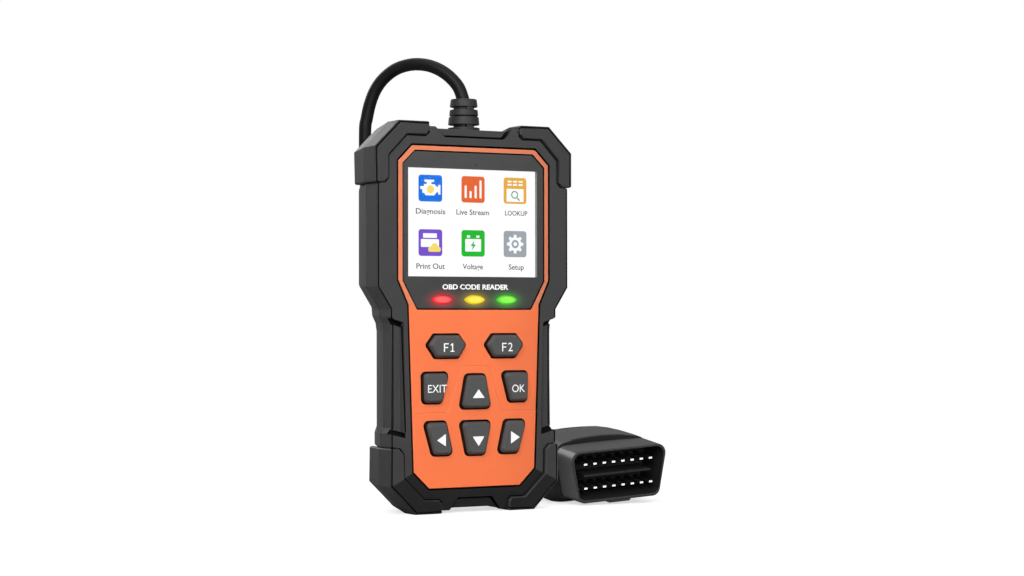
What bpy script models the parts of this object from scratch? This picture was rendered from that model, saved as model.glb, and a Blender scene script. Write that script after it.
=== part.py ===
"""OBD code reader: handset, lead and 16-pin diagnostic plug, built as separate pieces.

Numbers are millimetres in the handset's layout frame:
  x  from the handset's plane of symmetry, +x to the right seen from the front
  y  from the front plane of the face plate, +y towards the back
  z  from the standing plane under the bottom bumpers, +z up
The model is in metres, with its origin at the centre of the handset's flat back.
The plug has its own frame: x across, y from its mouth back along the lead, z up.

A solid is a list of rings of points, skinned from ring to ring. An outline is a
list of (x, z), a level is an (outline, y) pair and a span is (first y, last y).
"""
import bpy
import bmesh
import math
from collections import namedtuple
from mathutils import Matrix, Vector

MM = 0.001

# ---- dimensions shared between sections --------------------------------------
BACK_Y = 26.0          # handset thickness, face plate front to flat back
MID_Z = 71.0           # height of the model origin above the standing plane
GAP = 0.3              # clearance between neighbouring pieces
PLATE_T = 1.5          # face plate thickness
POCKET_Y = 1.8         # floor of the pocket the face plate lies in
BUMPER_POCKET_Y = 1.9  # floor of the corner pockets
WALL_Y = 3.8           # inner side of the front wall
PART_Y = 8.5           # parting plane, and the axis of the lead's entry
REAR_Y = PART_Y + GAP  # front edge of the rear shell
BEND_Y = 13.5          # rear shell and bumpers change slope here
BEVEL = 0.9            # front edge bevel of shell and bumpers

POCKET_CUT_Y = -3.0        # pocket cutters start here, in front of the shell
WALL_CUT = (0.5, 6.0)      # span of cuts through the front wall
PLATE_CUT = (-2.0, 4.0)    # span of cuts through the face plate and lens

BOARD_FRONT, BOARD_BACK = 8.0, 9.6
BOARD_SEAT = BOARD_FRONT - GAP     # pieces in front of the board end here
BOARD_TOP = BOARD_BACK + GAP       # pieces behind the board start here

PIVOT_Z = 149.4        # the lead bends about this height in the handset's boot
PLUG_PIVOT = 67.5      # the plug bends on the lead this far behind its mouth

CASE_SCREWS = [(-30.3, 129.3), (30.3, 129.3), (-22.5, 15.5), (22.5, 15.5)]
BOARD_SCREWS = [(-24.5, 79.0), (24.5, 79.0)]
CASE_PILOT_R = 1.35
SCREW_SEAT_Y = 23.0    # floor of the counterbores in the rear shell

# name: (base colour, roughness, metallic)
MATERIALS = {
    "shell_black": ((0.040, 0.040, 0.042), 0.55, 0.0),
    "bumper_black": ((0.034, 0.034, 0.036), 0.68, 0.0),
    "face_orange": ((0.84, 0.19, 0.055), 0.42, 0.0),
    "lens_dark": ((0.060, 0.060, 0.062), 0.20, 0.0),
    "screen_white": ((0.90, 0.92, 0.94), 0.30, 0.0),
    "light_red": ((0.90, 0.05, 0.05), 0.30, 0.0),
    "light_yellow": ((0.95, 0.75, 0.05), 0.30, 0.0),
    "light_green": ((0.12, 0.85, 0.10), 0.30, 0.0),
    "key_grey": ((0.080, 0.080, 0.084), 0.60, 0.0),
    "mat_silicone": ((0.16, 0.16, 0.17), 0.80, 0.0),
    "steel_tray": ((0.55, 0.56, 0.58), 0.35, 1.0),
    "ribbon_amber": ((0.62, 0.30, 0.05), 0.45, 0.0),
    "board_green": ((0.02, 0.16, 0.06), 0.50, 0.0),
    "chip_black": ((0.02, 0.02, 0.02), 0.45, 0.0),
    "screw_steel": ((0.50, 0.50, 0.52), 0.35, 1.0),
    "lead_black": ((0.022, 0.022, 0.023), 0.50, 0.0),
    "pin_metal": ((0.80, 0.80, 0.78), 0.25, 1.0),
    "block_black": ((0.015, 0.015, 0.016), 0.60, 0.0),
    "connector_white": ((0.75, 0.74, 0.70), 0.55, 0.0),
}


# ---- outlines ------------------------------------------------------------------
def flip(outline):
    """Outline reflected left to right, still running the same way round."""
    return [(-x, z) for x, z in reversed(outline)]


def mirrored(half):
    """Closed outline from its right half, given top to bottom."""
    return half + flip(half)


def area(outline):
    return 0.5 * sum(outline[i - 1][0] * outline[i][1] - outline[i][0] * outline[i - 1][1]
                     for i in range(len(outline)))


def corners(outline):
    """Each corner with its neighbours: (before, corner, after)."""
    points = [Vector(p) for p in outline]
    return zip(points[-1:] + points[:-1], points, points[1:] + points[:1])


def offset(outline, distance):
    """Outline moved outwards with mitred corners."""
    turn = 1.0 if area(outline) > 0 else -1.0
    moved = []
    for before, corner, after in corners(outline):
        edge_in = (corner - before).normalized()
        edge_out = (after - corner).normalized()
        normal_in = Vector((edge_in.y, -edge_in.x)) * turn
        normal_out = Vector((edge_out.y, -edge_out.x)) * turn
        mitre = (normal_in + normal_out).normalized()
        moved.append(tuple(corner + mitre * (distance / mitre.dot(normal_in))))
    return moved


def rounded(outline, radii, steps=2):
    """Outline with each corner replaced by an arc; one radius per corner."""
    points = []
    for (before, corner, after), radius in zip(corners(outline), radii):
        to_before = (before - corner).normalized()
        to_after = (after - corner).normalized()
        half = to_before.angle(to_after) / 2
        centre = corner + (to_before + to_after).normalized() * (radius / math.sin(half))
        reach = radius / math.tan(half)
        first = corner + to_before * reach - centre
        last = corner + to_after * reach - centre
        start = math.atan2(first.y, first.x)
        sweep = math.atan2(last.y, last.x) - start
        sweep = (sweep + math.pi) % (2 * math.pi) - math.pi
        for k in range(steps + 1):
            angle = start + sweep * k / steps
            points.append((centre.x + radius * math.cos(angle),
                           centre.y + radius * math.sin(angle)))
    return points


def circle(x, z, radius, sides=12):
    angles = [2 * math.pi * k / sides for k in range(sides)]
    return [(x + radius * math.cos(a), z + radius * math.sin(a)) for a in angles]


def rect(x0, z0, x1, z1):
    return [(x0, z0), (x1, z0), (x1, z1), (x0, z1)]


def rect_at(x, z, half_width, half_height):
    return rect(x - half_width, z - half_height, x + half_width, z + half_height)


# ---- solids --------------------------------------------------------------------
def ring(outline, y):
    return [(x, y, z) for x, z in outline]


def stack(levels):
    return [ring(outline, y) for outline, y in levels]


def prism(outline, y0, y1):
    return [ring(outline, y0), ring(outline, y1)]


def polar(centre, axis, radius, height, angle):
    """Point at a radius and angle about the axis, at a height along it."""
    x, y, z = centre
    across, up = radius * math.cos(angle), radius * math.sin(angle)
    if axis == "y":
        return (x + across, y + height, z + up)
    return (x + across, y + up, z + height)


def turn_angles(sides):
    return [2 * math.pi * (k + 0.5) / sides for k in range(sides)]


def turned(profile, centre, sides, axis="y"):
    """Solid turned piece: profile of (radius, height) from end to end."""
    return [[polar(centre, axis, radius, height, angle) for angle in turn_angles(sides)]
            for radius, height in profile]


def bored(profile, centre, sides, axis):
    """Closed ring of sections for a piece with a bore.

    profile is a loop of (radius, height) or (radius, height, bridges).
    """
    rings = []
    for angle in turn_angles(sides):
        section = []
        for radius, height, *bridges in profile:
            if bridges:
                radius = bridges[0](angle, radius)
            section.append(polar(centre, axis, radius, height, angle))
        rings.append(section)
    return rings


def spline(points, per):
    """Catmull-Rom curve through the points, with per steps between neighbours."""
    points = [Vector(p) for p in points]
    points = [points[0] * 2 - points[1]] + points + [points[-1] * 2 - points[-2]]
    curve = []
    for p0, p1, p2, p3 in zip(points, points[1:], points[2:], points[3:]):
        for k in range(per):
            t = k / per
            curve.append(0.5 * ((2 * p1) + (p2 - p0) * t
                                + (2 * p0 - 5 * p1 + 4 * p2 - p3) * t * t
                                + (3 * p1 - p0 - 3 * p2 + p3) * t ** 3))
    curve.append(points[-2])
    return curve


def tangents(path):
    return [(after - before).normalized()
            for before, after in zip(path[:1] + path[:-1], path[1:] + path[-1:])]


def tube(path, radii, sides):
    """Round bar along a path, turned as little as possible from ring to ring."""
    directions = tangents(path)
    across = directions[0].orthogonal().normalized()
    rings = []
    for point, along, radius in zip(path, directions, radii):
        across = (across - along * across.dot(along)).normalized()
        up = along.cross(across)
        angles = [2 * math.pi * k / sides for k in range(sides)]
        rings.append([tuple(point + (across * math.cos(a) + up * math.sin(a)) * radius)
                      for a in angles])
    return rings


def skin(bm, rings, closed):
    """Faces from ring to ring; the ends are capped unless the rings close up."""
    rows = [[bm.verts.new(p) for p in points] for points in rings]
    count = len(rows[0])
    pairs = list(zip(rows, rows[1:]))
    if closed:
        pairs.append((rows[-1], rows[0]))
    for a, b in pairs:
        for i in range(count):
            j = (i + 1) % count
            bm.faces.new((a[i], a[j], b[j], b[i]))
    if not closed:
        bm.faces.new(list(reversed(rows[0])))
        bm.faces.new(rows[-1])


# ---- objects -------------------------------------------------------------------
# empty: parent of the pieces, or None; zero: layout point at the frame's origin
Frame = namedtuple("Frame", "empty zero")
HANDSET_ZERO = (0.0, BACK_Y, MID_Z)
PLUG_ZERO = (0.0, 0.0, 0.0)


def to_model(point, zero=HANDSET_ZERO):
    """Layout millimetres to metres from the frame's origin."""
    return Vector([(value - start) * MM for value, start in zip(point, zero)])


def new_frame(name, zero, matrix):
    empty = bpy.data.objects.new(name, None)
    bpy.context.scene.collection.objects.link(empty)
    empty.matrix_world = matrix
    return Frame(empty, zero)


def material(name):
    mat = bpy.data.materials.get(name)
    if mat is None:
        colour, roughness, metallic = MATERIALS[name]
        mat = bpy.data.materials.new(name)
        mat.use_nodes = True
        inputs = mat.node_tree.nodes["Principled BSDF"].inputs
        inputs["Base Color"].default_value = (*colour, 1.0)
        inputs["Roughness"].default_value = roughness
        inputs["Metallic"].default_value = metallic
        mat.diffuse_color = (*colour, 1.0)
    return mat


def make(name, solids, mat, frame, origin=None, smooth=None, closed=False):
    """Object from solids in layout mm; smooth is the sharp-edge angle in degrees."""
    bm = bmesh.new()
    for rings in solids:
        skin(bm, rings, closed)
    bmesh.ops.recalc_face_normals(bm, faces=bm.faces)
    origin = Vector(origin or frame.zero)
    for vert in bm.verts:
        vert.co = (vert.co - origin) * MM
    mesh = bpy.data.meshes.new(name)
    bm.to_mesh(mesh)
    bm.free()
    if mat:
        mesh.materials.append(material(mat))
    ob = bpy.data.objects.new(name, mesh)
    bpy.context.scene.collection.objects.link(ob)
    ob.location = to_model(origin, frame.zero)
    ob.parent = frame.empty
    if smooth:
        mesh.shade_smooth()
        mesh.set_sharp_from_angle(angle=math.radians(smooth))
    return ob


def combine(ob, name, solids, frame, operation="DIFFERENCE"):
    """Cut the solids from an object, or join them to it, with a hidden helper."""
    tool = make("cut_" + name, solids, None, frame)
    tool.hide_render = True
    tool.display_type = "WIRE"
    mod = ob.modifiers.new(operation.lower() + "_" + tool.name, "BOOLEAN")
    mod.operation = operation
    mod.solver = "EXACT"
    mod.object = tool


# ---- face plate, lens and status light outlines ----------------------------------
# right halves, top to bottom
PLATE = [(25.6, 133.5), (31.35, 127.7), (31.35, 84.7), (27.2, 75.7), (25.2, 15.2),
         (18.85, 9.0)]
LENS = [(24.4, 131.4), (29.2, 126.7), (29.2, 84.5), (23.55, 74.2)]
PLATE_BEVEL = 0.3
LENS_FRONT = 0.1

LIGHT_X = 13.4         # spacing of the status lights
LIGHT_Z = 77.6
LIGHTS = [("red", -LIGHT_X), ("yellow", 0.0), ("green", LIGHT_X)]
LIGHT_HOLE = (4.5, 1.9)        # half width, half height
PIPE_END = 6.3
# light pipe, front to back: half width, half height, y
LIGHT_PIPE = [(3.4, 1.05, -0.25), (4.0, 1.45, 0.15), (4.0, 1.45, WALL_Y + GAP),
              (4.8, 2.1, WALL_Y + GAP), (4.8, 2.1, 5.0), (3.4, 1.05, 5.0),
              (3.4, 1.05, PIPE_END)]
LED_HALF = (1.6, 0.8)


def light_oval(x, half_width, half_height, steps=4):
    """Pointed oval round a light's centre: two shallow arcs."""
    top = []
    for k in range(steps + 1):
        across = -half_width + 2 * half_width * k / steps
        top.append((x + across, LIGHT_Z + half_height * (1 - (across / half_width) ** 2)))
    return top + [(px, 2 * LIGHT_Z - pz) for px, pz in reversed(top[1:-1])]


def light_holes(span):
    return [prism(light_oval(x, *LIGHT_HOLE), *span) for _, x in LIGHTS]


# ---- key outlines ----------------------------------------------------------------
# whole holes; the paired ones are the right-hand hole
HEX = [(3.6, 61.15), (6.8, 65.2), (17.2, 65.2), (20.4, 61.15), (16.85, 56.1), (6.95, 56.1)]
SIDE_TOP = [(10.6, 51.45), (22.2, 51.4), (21.95, 39.75), (13.75, 39.7)]
SIDE_LOW = [(11.95, 33.65), (21.6, 33.6), (17.9, 20.8), (8.95, 20.8)]
UP = [(-4.25, 50.6), (4.25, 50.6), (6.8, 37.55), (-6.8, 37.55)]
DOWN = [(-6.85, 33.55), (6.85, 33.55), (4.05, 20.55), (-4.05, 20.55)]
# name, hole outline, corner radius
KEYS = [
    ("key_f1", flip(HEX), 1.2), ("key_f2", HEX, 1.2),
    ("key_exit", flip(SIDE_TOP), 1.8), ("key_ok", SIDE_TOP, 1.8),
    ("key_up", UP, 1.9), ("key_down", DOWN, 1.9),
    ("key_left", flip(SIDE_LOW), 1.9), ("key_right", SIDE_LOW, 1.9),
]
KEY_MIN_RADIUS = 0.3
KEY_PROUD = 2.2        # key top in front of the face plate
KEY_GAP = 0.35         # gap around a key in its hole
FLANGE_Y = WALL_Y + GAP
# key, front to back: offset from the hole outline, y
KEY_LEVELS = [(-KEY_GAP - 1.25, -KEY_PROUD), (-KEY_GAP - 0.95, -KEY_PROUD + 0.3),
              (-KEY_GAP, -0.5), (-KEY_GAP, FLANGE_Y), (0.8, FLANGE_Y), (0.8, FLANGE_Y + 1.0)]
STEM_R = 1.9
STEM_SPAN = (WALL_Y + 0.8, 6.4)

KEYPAD = [(24.5, 66.5), (24.5, 38.0), (23.0, 18.6)]    # right half of the mat
KEYPAD_FRONT = 6.3
WELL_R = 2.4
WELL_CUT = (5.0, 9.0)


def key_outline(outline, radius, distance=0.0):
    corner = max(radius + distance, KEY_MIN_RADIUS)
    return rounded(offset(outline, distance), [corner] * len(outline))


def key_holes(span):
    return [prism(key_outline(outline, radius), *span) for _, outline, radius in KEYS]


def key_centre(outline):
    return [sum(values) / len(outline) for values in zip(*outline)]


# ---- display dimensions ------------------------------------------------------------
LCD_HALF = 26.4        # half width of the display's picture
LCD_Z0, LCD_Z1 = 85.9, 125.5
LCD_MARGIN = 0.7       # panel beyond the picture
LCD_BACK = 4.5
LCD_FRAME = [(27.4, 127.9), (28.9, 126.4), (28.9, 83.5)]     # right half
LCD_FRAME_SPAN = (WALL_Y + GAP, 6.2)
TRAY_CUT_Y = 3.0       # the cutter for the panel's tray starts here

RIBBON_Y = 7.1         # middle of the fold
RIBBON_HALF_T = 0.14
RIBBON_FOLD_R = 0.42
RIBBON_Z0, RIBBON_Z1 = 112.0, 119.0    # free ends, centre of the fold
RIBBON_HALF = 9.0
FOLD_STEPS = 6


def lcd_rect(margin):
    return rect(-LCD_HALF - margin, LCD_Z0 - margin, LCD_HALF + margin, LCD_Z1 + margin)


# ---- handset shells ------------------------------------------------------------------
# right halves, top to bottom
SHELL = [(14.0, 139.3), (16.0, 140.6), (18.4, 140.6), (18.4, 139.5), (30.1, 139.5),
         (38.1, 131.5), (38.1, 119.5), (39.7, 119.5), (39.7, 82.2), (34.5, 74.1),
         (34.5, 71.4), (33.2, 69.2), (32.9, 66.0), (32.9, 31.2), (34.3, 29.4),
         (34.3, 24.2), (32.5, 24.2), (32.5, 11.1), (23.8, 2.4), (13.4, 2.4),
         (13.4, 1.0), (10.2, 1.0), (9.2, 1.8)]
# the same corners where the rear shell meets its flat back
SHELL_BACK = [(13.0, 134.0), (14.8, 134.0), (17.0, 134.0), (18.4, 134.0), (29.2, 134.0),
              (33.7, 129.5), (33.7, 118.4), (33.7, 117.0), (33.7, 83.6), (28.5, 75.4),
              (28.2, 72.0), (27.1, 69.0), (26.9, 66.0), (26.9, 31.6), (26.9, 29.0),
              (26.9, 25.4), (26.9, 23.8), (26.9, 13.5), (21.4, 8.0), (13.4, 8.0),
              (12.4, 8.0), (10.2, 8.0), (9.2, 8.0)]
CAVITY = [(29.1, 137.1), (35.9, 130.4), (35.9, 118.5), (37.4, 117.0), (37.4, 83.0),
          (32.4, 75.2), (32.4, 71.8), (30.7, 68.5), (30.7, 31.5), (30.3, 25.0),
          (30.3, 12.0), (22.9, 4.6), (9.5, 4.6)]
CAVITY_BACK = [(27.4, 131.8), (31.4, 127.8), (31.4, 117.0), (31.4, 115.8), (31.4, 84.6),
               (26.2, 76.2), (26.0, 72.0), (24.7, 68.5), (24.7, 31.5), (24.7, 25.0),
               (24.7, 14.4), (20.4, 10.2), (9.5, 10.2)]
# y, and how far the outline has gone there from its front to its back corners
TAPER = [(REAR_Y, 0.0), (BEND_Y, 0.15), (19.0, 0.37), (23.0, 0.70), (BACK_Y, 1.0)]
REAR_CAVITY_YS = [5.0, REAR_Y, BEND_Y, 19.0, 23.6]

# pocket cutters of the right-hand bumpers
POCKET_TOP = [(18.45, 146.0), (18.45, 138.2), (20.05, 136.8), (27.7, 136.8),
              (34.8, 129.4), (34.8, 121.25), (36.2, 119.55), (46.0, 119.55), (46.0, 146.0)]
POCKET_LOW = [(40.0, 24.15), (30.5, 24.15), (28.8, 22.0), (28.65, 13.25), (20.45, 5.4),
              (14.75, 5.4), (13.45, 4.3), (13.45, -4.0), (40.0, -4.0)]

# cutters with sloping walls: levels in front of the face and at the bed
TOP_RECESS = [([(-15.7, 142.0), (15.7, 142.0), (12.3, 137.0), (-12.3, 137.0)], -0.5),
              ([(-15.2, 142.0), (15.2, 142.0), (11.5, 137.6), (-11.5, 137.6)], 2.0)]
LOW_RECESS = [([(-7.2, 5.7), (7.2, 5.7), (11.2, -1.0), (-11.2, -1.0)], -0.5),
              ([(-6.6, 5.2), (6.6, 5.2), (10.4, -1.0), (-10.4, -1.0)], 1.6)]
FINGER_CHANNEL = [([(28.6, 69.6), (38.0, 72.4), (38.0, 30.0), (27.6, 27.2)], -0.5),
                  ([(29.9, 67.6), (38.0, 70.4), (38.0, 31.6), (29.6, 29.4)], 2.2)]

BOSS_Y = 3.0           # bosses start inside the front wall
# places, boss radius, boss end y, pilot hole radius
BOSSES = [(CASE_SCREWS, 2.4, PART_Y - 0.2, CASE_PILOT_R),
          (BOARD_SCREWS, 2.3, BOARD_SEAT, 1.15)]
PILOT_SPAN = (4.6, PART_Y + 2.0)

POST_R = 2.7
POST_SPAN = (10.0, 24.6)
REAR_SCREW_HOLE = [(CASE_PILOT_R, 4.0), (CASE_PILOT_R, SCREW_SEAT_Y),
                   (2.25, SCREW_SEAT_Y), (2.25, 28.0)]      # radius, y
LABEL = rounded(rect(-22.0, 86.0, 22.0, 120.0), [3.0] * 4)
LABEL_CUT = (BACK_Y - 0.5, BACK_Y + 2.0)

ENTRY_HOLE = [(3.75, 136.0), (3.75, 143.0)]     # radius, z


def cut_entry_hole(shell, name, frame):
    """Upright bore on the parting plane, where the boot's neck sits."""
    hole = turned(ENTRY_HOLE, (0.0, PART_Y, 0.0), sides=20, axis="z")
    combine(shell, name, [hole], frame)


def build_front_shell(frame):
    outline = mirrored(SHELL)
    body = stack([(offset(outline, -BEVEL), 0.0), (outline, BEVEL), (outline, PART_Y)])
    shell = make("front_shell", [body], "shell_black", frame, smooth=30)

    combine(shell, "front_cavity", [prism(mirrored(CAVITY), WALL_Y, PART_Y + 4.0)], frame)
    pocket = prism(offset(mirrored(PLATE), GAP), POCKET_CUT_Y, POCKET_Y)
    combine(shell, "plate_pocket", [pocket], frame)
    pockets = [prism(corner, POCKET_CUT_Y, BUMPER_POCKET_Y)
               for corner in (POCKET_TOP, flip(POCKET_TOP), POCKET_LOW, flip(POCKET_LOW))]
    combine(shell, "bumper_pockets", pockets, frame)
    combine(shell, "edge_recesses", [stack(TOP_RECESS), stack(LOW_RECESS)], frame)

    # finger channels down both sides of the waist
    channels = [stack([([(side * x, z) for x, z in points], y) for points, y in FINGER_CHANNEL])
                for side in (1, -1)]
    combine(shell, "finger_channels", channels, frame)

    window = prism(lcd_rect(LCD_MARGIN + GAP), *WALL_CUT)
    openings = [window] + key_holes(WALL_CUT) + light_holes(WALL_CUT)
    combine(shell, "front_openings", openings, frame)

    bosses, pilots = [], []
    for places, boss_radius, boss_end, pilot_radius in BOSSES:
        for x, z in places:
            bosses.append(prism(circle(x, z, boss_radius), BOSS_Y, boss_end))
            pilots.append(prism(circle(x, z, pilot_radius, sides=10), *PILOT_SPAN))
    combine(shell, "front_bosses", bosses, frame, "UNION")
    combine(shell, "front_pilots", pilots, frame)
    cut_entry_hole(shell, "front_entry", frame)


def tapered(front, back, depths):
    """Solid whose half outline goes from front to back as TAPER says."""
    rings = []
    for y in depths:
        for (y0, share0), (y1, share1) in zip(TAPER, TAPER[1:]):
            if y <= y1:
                share = share0 + (share1 - share0) * max(y - y0, 0.0) / (y1 - y0)
                break
        rings.append([(x0 + (x1 - x0) * share, y, z0 + (z1 - z0) * share)
                      for (x0, z0), (x1, z1) in zip(mirrored(front), mirrored(back))])
    return rings


def build_rear_shell(frame):
    body = tapered(SHELL, SHELL_BACK, [y for y, _ in TAPER])
    shell = make("rear_shell", [body], "shell_black", frame, smooth=30)
    hollow = tapered(CAVITY, CAVITY_BACK, REAR_CAVITY_YS)
    combine(shell, "rear_cavity", [hollow], frame)
    posts = [prism(circle(x, z, POST_R), *POST_SPAN) for x, z in CASE_SCREWS]
    combine(shell, "rear_posts", posts, frame, "UNION")
    # screw holes, and a shallow recess for a rating label
    holes = [turned(REAR_SCREW_HOLE, (x, 0.0, z), sides=10) for x, z in CASE_SCREWS]
    combine(shell, "rear_holes", holes + [prism(LABEL, *LABEL_CUT)], frame)
    cut_entry_hole(shell, "rear_entry", frame)


# ---- bumpers -------------------------------------------------------------------------
# stations (x, z): outer edge, inner face against the shell, edge of the front pad
BUMPER_TOP = [((18.75, 142.2), (18.75, 139.85), (18.75, 138.3)),
              ((20.2, 142.2), (20.2, 139.85), (20.2, 137.1)),
              ((31.2, 142.2), (30.25, 139.85), (27.9, 137.1)),
              ((40.9, 132.5), (38.45, 131.65), (35.1, 129.6)),
              ((40.9, 121.4), (38.45, 121.4), (35.1, 121.4)),
              ((40.9, 119.85), (38.45, 119.85), (36.4, 119.85))]
BUMPER_LOW = [((34.9, 23.85), (32.85, 23.85), (30.6, 23.85)),
              ((34.9, 21.9), (32.85, 21.9), (29.1, 21.9)),
              ((34.9, 10.3), (32.85, 10.95), (28.95, 13.1)),
              ((24.6, 0.0), (23.95, 2.05), (20.6, 5.1)),
              ((14.9, 0.0), (14.9, 2.05), (14.9, 5.1)),
              ((13.75, 0.0), (13.75, 2.05), (13.75, 4.2))]
BUMPER_FRONT = -1.0    # bumpers stand this far in front of the face
PAD_BEVEL = 0.6
PAD_BACK = BUMPER_POCKET_Y - GAP
# shift inwards, y: the side of the bumper leans in towards its rear end
BUMPER_LEAN = [(0.0, PART_Y), (0.75, BEND_Y), (2.1, 21.5)]


def build_bumper(name, stations, side, frame):
    """Corner bumper: an L section swept round the corner through its stations."""
    rings = []
    for station in stations:
        outer, inner, pad = [Vector(p) for p in station]
        inward = (pad - outer).normalized()
        section = [(pad, 0.0, BUMPER_FRONT + PAD_BEVEL), (pad, -PAD_BEVEL, BUMPER_FRONT),
                   (outer, BEVEL, BUMPER_FRONT), (outer, 0.0, BUMPER_FRONT + BEVEL)]
        section += [(outer, shift, y) for shift, y in BUMPER_LEAN]
        section += [(inner, shift, y) for shift, y in reversed(BUMPER_LEAN)]
        section += [(inner, 0.0, PAD_BACK), (pad, 0.0, PAD_BACK)]
        points = []
        for base, shift, y in section:
            x, z = base + inward * shift
            points.append((side * x, y, z))
        rings.append(points)
    make(name, [rings], "bumper_black", frame, smooth=25)


def build_bumpers(frame):
    for place, stations in (("top", BUMPER_TOP), ("bottom", BUMPER_LOW)):
        for hand, side in (("right", 1), ("left", -1)):
            build_bumper("bumper_%s_%s" % (place, hand), stations, side, frame)


# ---- face: plate, display, lights, keys --------------------------------------------------
def build_face_plate(frame):
    outline = mirrored(PLATE)
    body = stack([(offset(outline, -PLATE_BEVEL), 0.0), (outline, PLATE_BEVEL),
                  (outline, PLATE_T)])
    plate = make("face_plate", [body], "face_orange", frame)
    lens_hole = prism(offset(mirrored(LENS), GAP), *PLATE_CUT)
    combine(plate, "plate_openings", [lens_hole] + key_holes(PLATE_CUT), frame)


def build_lens(frame):
    body = prism(mirrored(LENS), LENS_FRONT, PLATE_T)
    lens = make("screen_lens", [body], "lens_dark", frame)
    combine(lens, "lens_light_holes", light_holes(PLATE_CUT), frame)


def build_lcd(frame):
    """Display panel in a steel tray."""
    panel = prism(lcd_rect(LCD_MARGIN), POCKET_Y + GAP, LCD_BACK)
    make("lcd_panel", [panel], "screen_white", frame)
    body = prism(mirrored(LCD_FRAME), *LCD_FRAME_SPAN)
    tray = make("lcd_frame", [body], "steel_tray", frame)
    hollow = prism(lcd_rect(LCD_MARGIN + GAP), TRAY_CUT_Y, LCD_BACK + GAP)
    combine(tray, "lcd_tray", [hollow], frame)


def build_ribbon(frame):
    """Folded flat ribbon between the tray and the board."""
    path = [(RIBBON_Y - RIBBON_FOLD_R, RIBBON_Z0)]
    for k in range(FOLD_STEPS + 1):
        angle = math.pi * k / FOLD_STEPS
        path.append((RIBBON_Y - RIBBON_FOLD_R * math.cos(angle),
                     RIBBON_Z1 + RIBBON_FOLD_R * math.sin(angle)))
    path.append((RIBBON_Y + RIBBON_FOLD_R, RIBBON_Z0))
    path = [Vector(p) for p in path]
    # both faces of the ribbon, as (y, z)
    faces = [[point + Vector((-along.y, along.x)) * shift
              for point, along in zip(path, tangents(path))]
             for shift in (RIBBON_HALF_T, -RIBBON_HALF_T)]
    section = faces[0] + faces[1][::-1]
    rings = [[(x, y, z) for y, z in section] for x in (-RIBBON_HALF, RIBBON_HALF)]
    make("lcd_ribbon", [rings], "ribbon_amber", frame)


def build_lights(frame):
    for name, x in LIGHTS:
        pipe = stack([(light_oval(x, half_width, half_height), y)
                      for half_width, half_height, y in LIGHT_PIPE])
        make("light_pipe_" + name, [pipe], "light_" + name, frame, smooth=40)
        led = prism(rect_at(x, LIGHT_Z, *LED_HALF), PIPE_END + GAP, BOARD_SEAT)
        make("led_" + name, [led], "light_" + name, frame)


def build_keys(frame):
    for name, outline, radius in KEYS:
        x, z = key_centre(outline)
        body = stack([(key_outline(outline, radius, distance), y)
                      for distance, y in KEY_LEVELS])
        key = make(name, [body], "key_grey", frame, origin=(x, 0.0, z), smooth=35)
        stem = prism(circle(x, z, STEM_R, sides=8), *STEM_SPAN)
        combine(key, name + "_stem", [stem], frame, "UNION")


def build_keypad(frame):
    """Mat behind the keys, with a well for each stem."""
    body = prism(mirrored(KEYPAD), KEYPAD_FRONT, BOARD_SEAT)
    mat = make("keypad_mat", [body], "mat_silicone", frame)
    wells = [prism(circle(*key_centre(outline), WELL_R, sides=8), *WELL_CUT)
             for _, outline, _ in KEYS]
    combine(mat, "mat_wells", wells, frame)


# ---- inside the handset --------------------------------------------------------------
BOARD = [(26.5, 131.0), (26.5, 125.5), (34.0, 125.5), (34.0, 86.0), (28.2, 77.0),
         (28.2, 18.5)]     # right half
BOARD_HOLE_R = 1.5
BOARD_CUT = (6.0, 12.0)
# blocks on the back of the board: name, outline, back y, material
BOARD_BLOCKS = [
    ("processor", rect(-8.0, 92.0, 6.0, 106.0), 11.3, "chip_black"),
    ("board_connector", rect(-6.5, 121.5, 6.5, 127.2), 13.6, "connector_white"),
]
BUZZER_CENTRE = (14.0, 0.0, 46.0)
BUZZER = [(6.0, BOARD_TOP), (6.0, 13.6), (5.4, 14.2), (1.2, 14.2)]     # radius, y
CASE_HEAD_Y = SCREW_SEAT_Y + GAP
# name, places, profile of (radius, y) from tip to head
SCREWS = [
    ("board_screw", BOARD_SCREWS,
     [(0.85, 5.0), (0.85, BOARD_TOP), (1.9, BOARD_TOP), (1.9, 10.9), (1.5, 11.3)]),
    ("case_screw", CASE_SCREWS,
     [(1.0, 5.0), (1.0, CASE_HEAD_Y), (1.95, CASE_HEAD_Y), (1.95, 24.6), (1.5, 25.1)]),
]
# wires from the boot to the board connector: x, y, z
WIRES = [(0, PART_Y, 145.6), (0, PART_Y, 138.0), (0, 10.0, 133.5), (0, 12.1, 130.5),
         (0, 12.1, 127.5)]
WIRES_R = 1.4


def build_board(frame):
    body = prism(mirrored(BOARD), BOARD_FRONT, BOARD_BACK)
    board = make("main_board", [body], "board_green", frame)
    holes = [prism(circle(x, z, BOARD_HOLE_R, sides=10), *BOARD_CUT) for x, z in BOARD_SCREWS]
    combine(board, "board_holes", holes, frame)
    for name, outline, back, mat in BOARD_BLOCKS:
        make(name, [prism(outline, BOARD_TOP, back)], mat, frame)
    buzzer = turned(BUZZER, BUZZER_CENTRE, sides=16)
    make("buzzer", [buzzer], "chip_black", frame, smooth=40)


def build_screws(frame):
    for name, places, profile in SCREWS:
        for number, (x, z) in enumerate(places, 1):
            screw = turned(profile, (x, 0.0, z), sides=10)
            make("%s_%d" % (name, number), [screw], "screw_steel", frame, smooth=40)


def build_wires(frame):
    path = spline(WIRES, per=3)
    bar = tube(path, [WIRES_R] * len(path), sides=8)
    make("cable_wires", [bar], "lead_black", frame, smooth=40)


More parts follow.
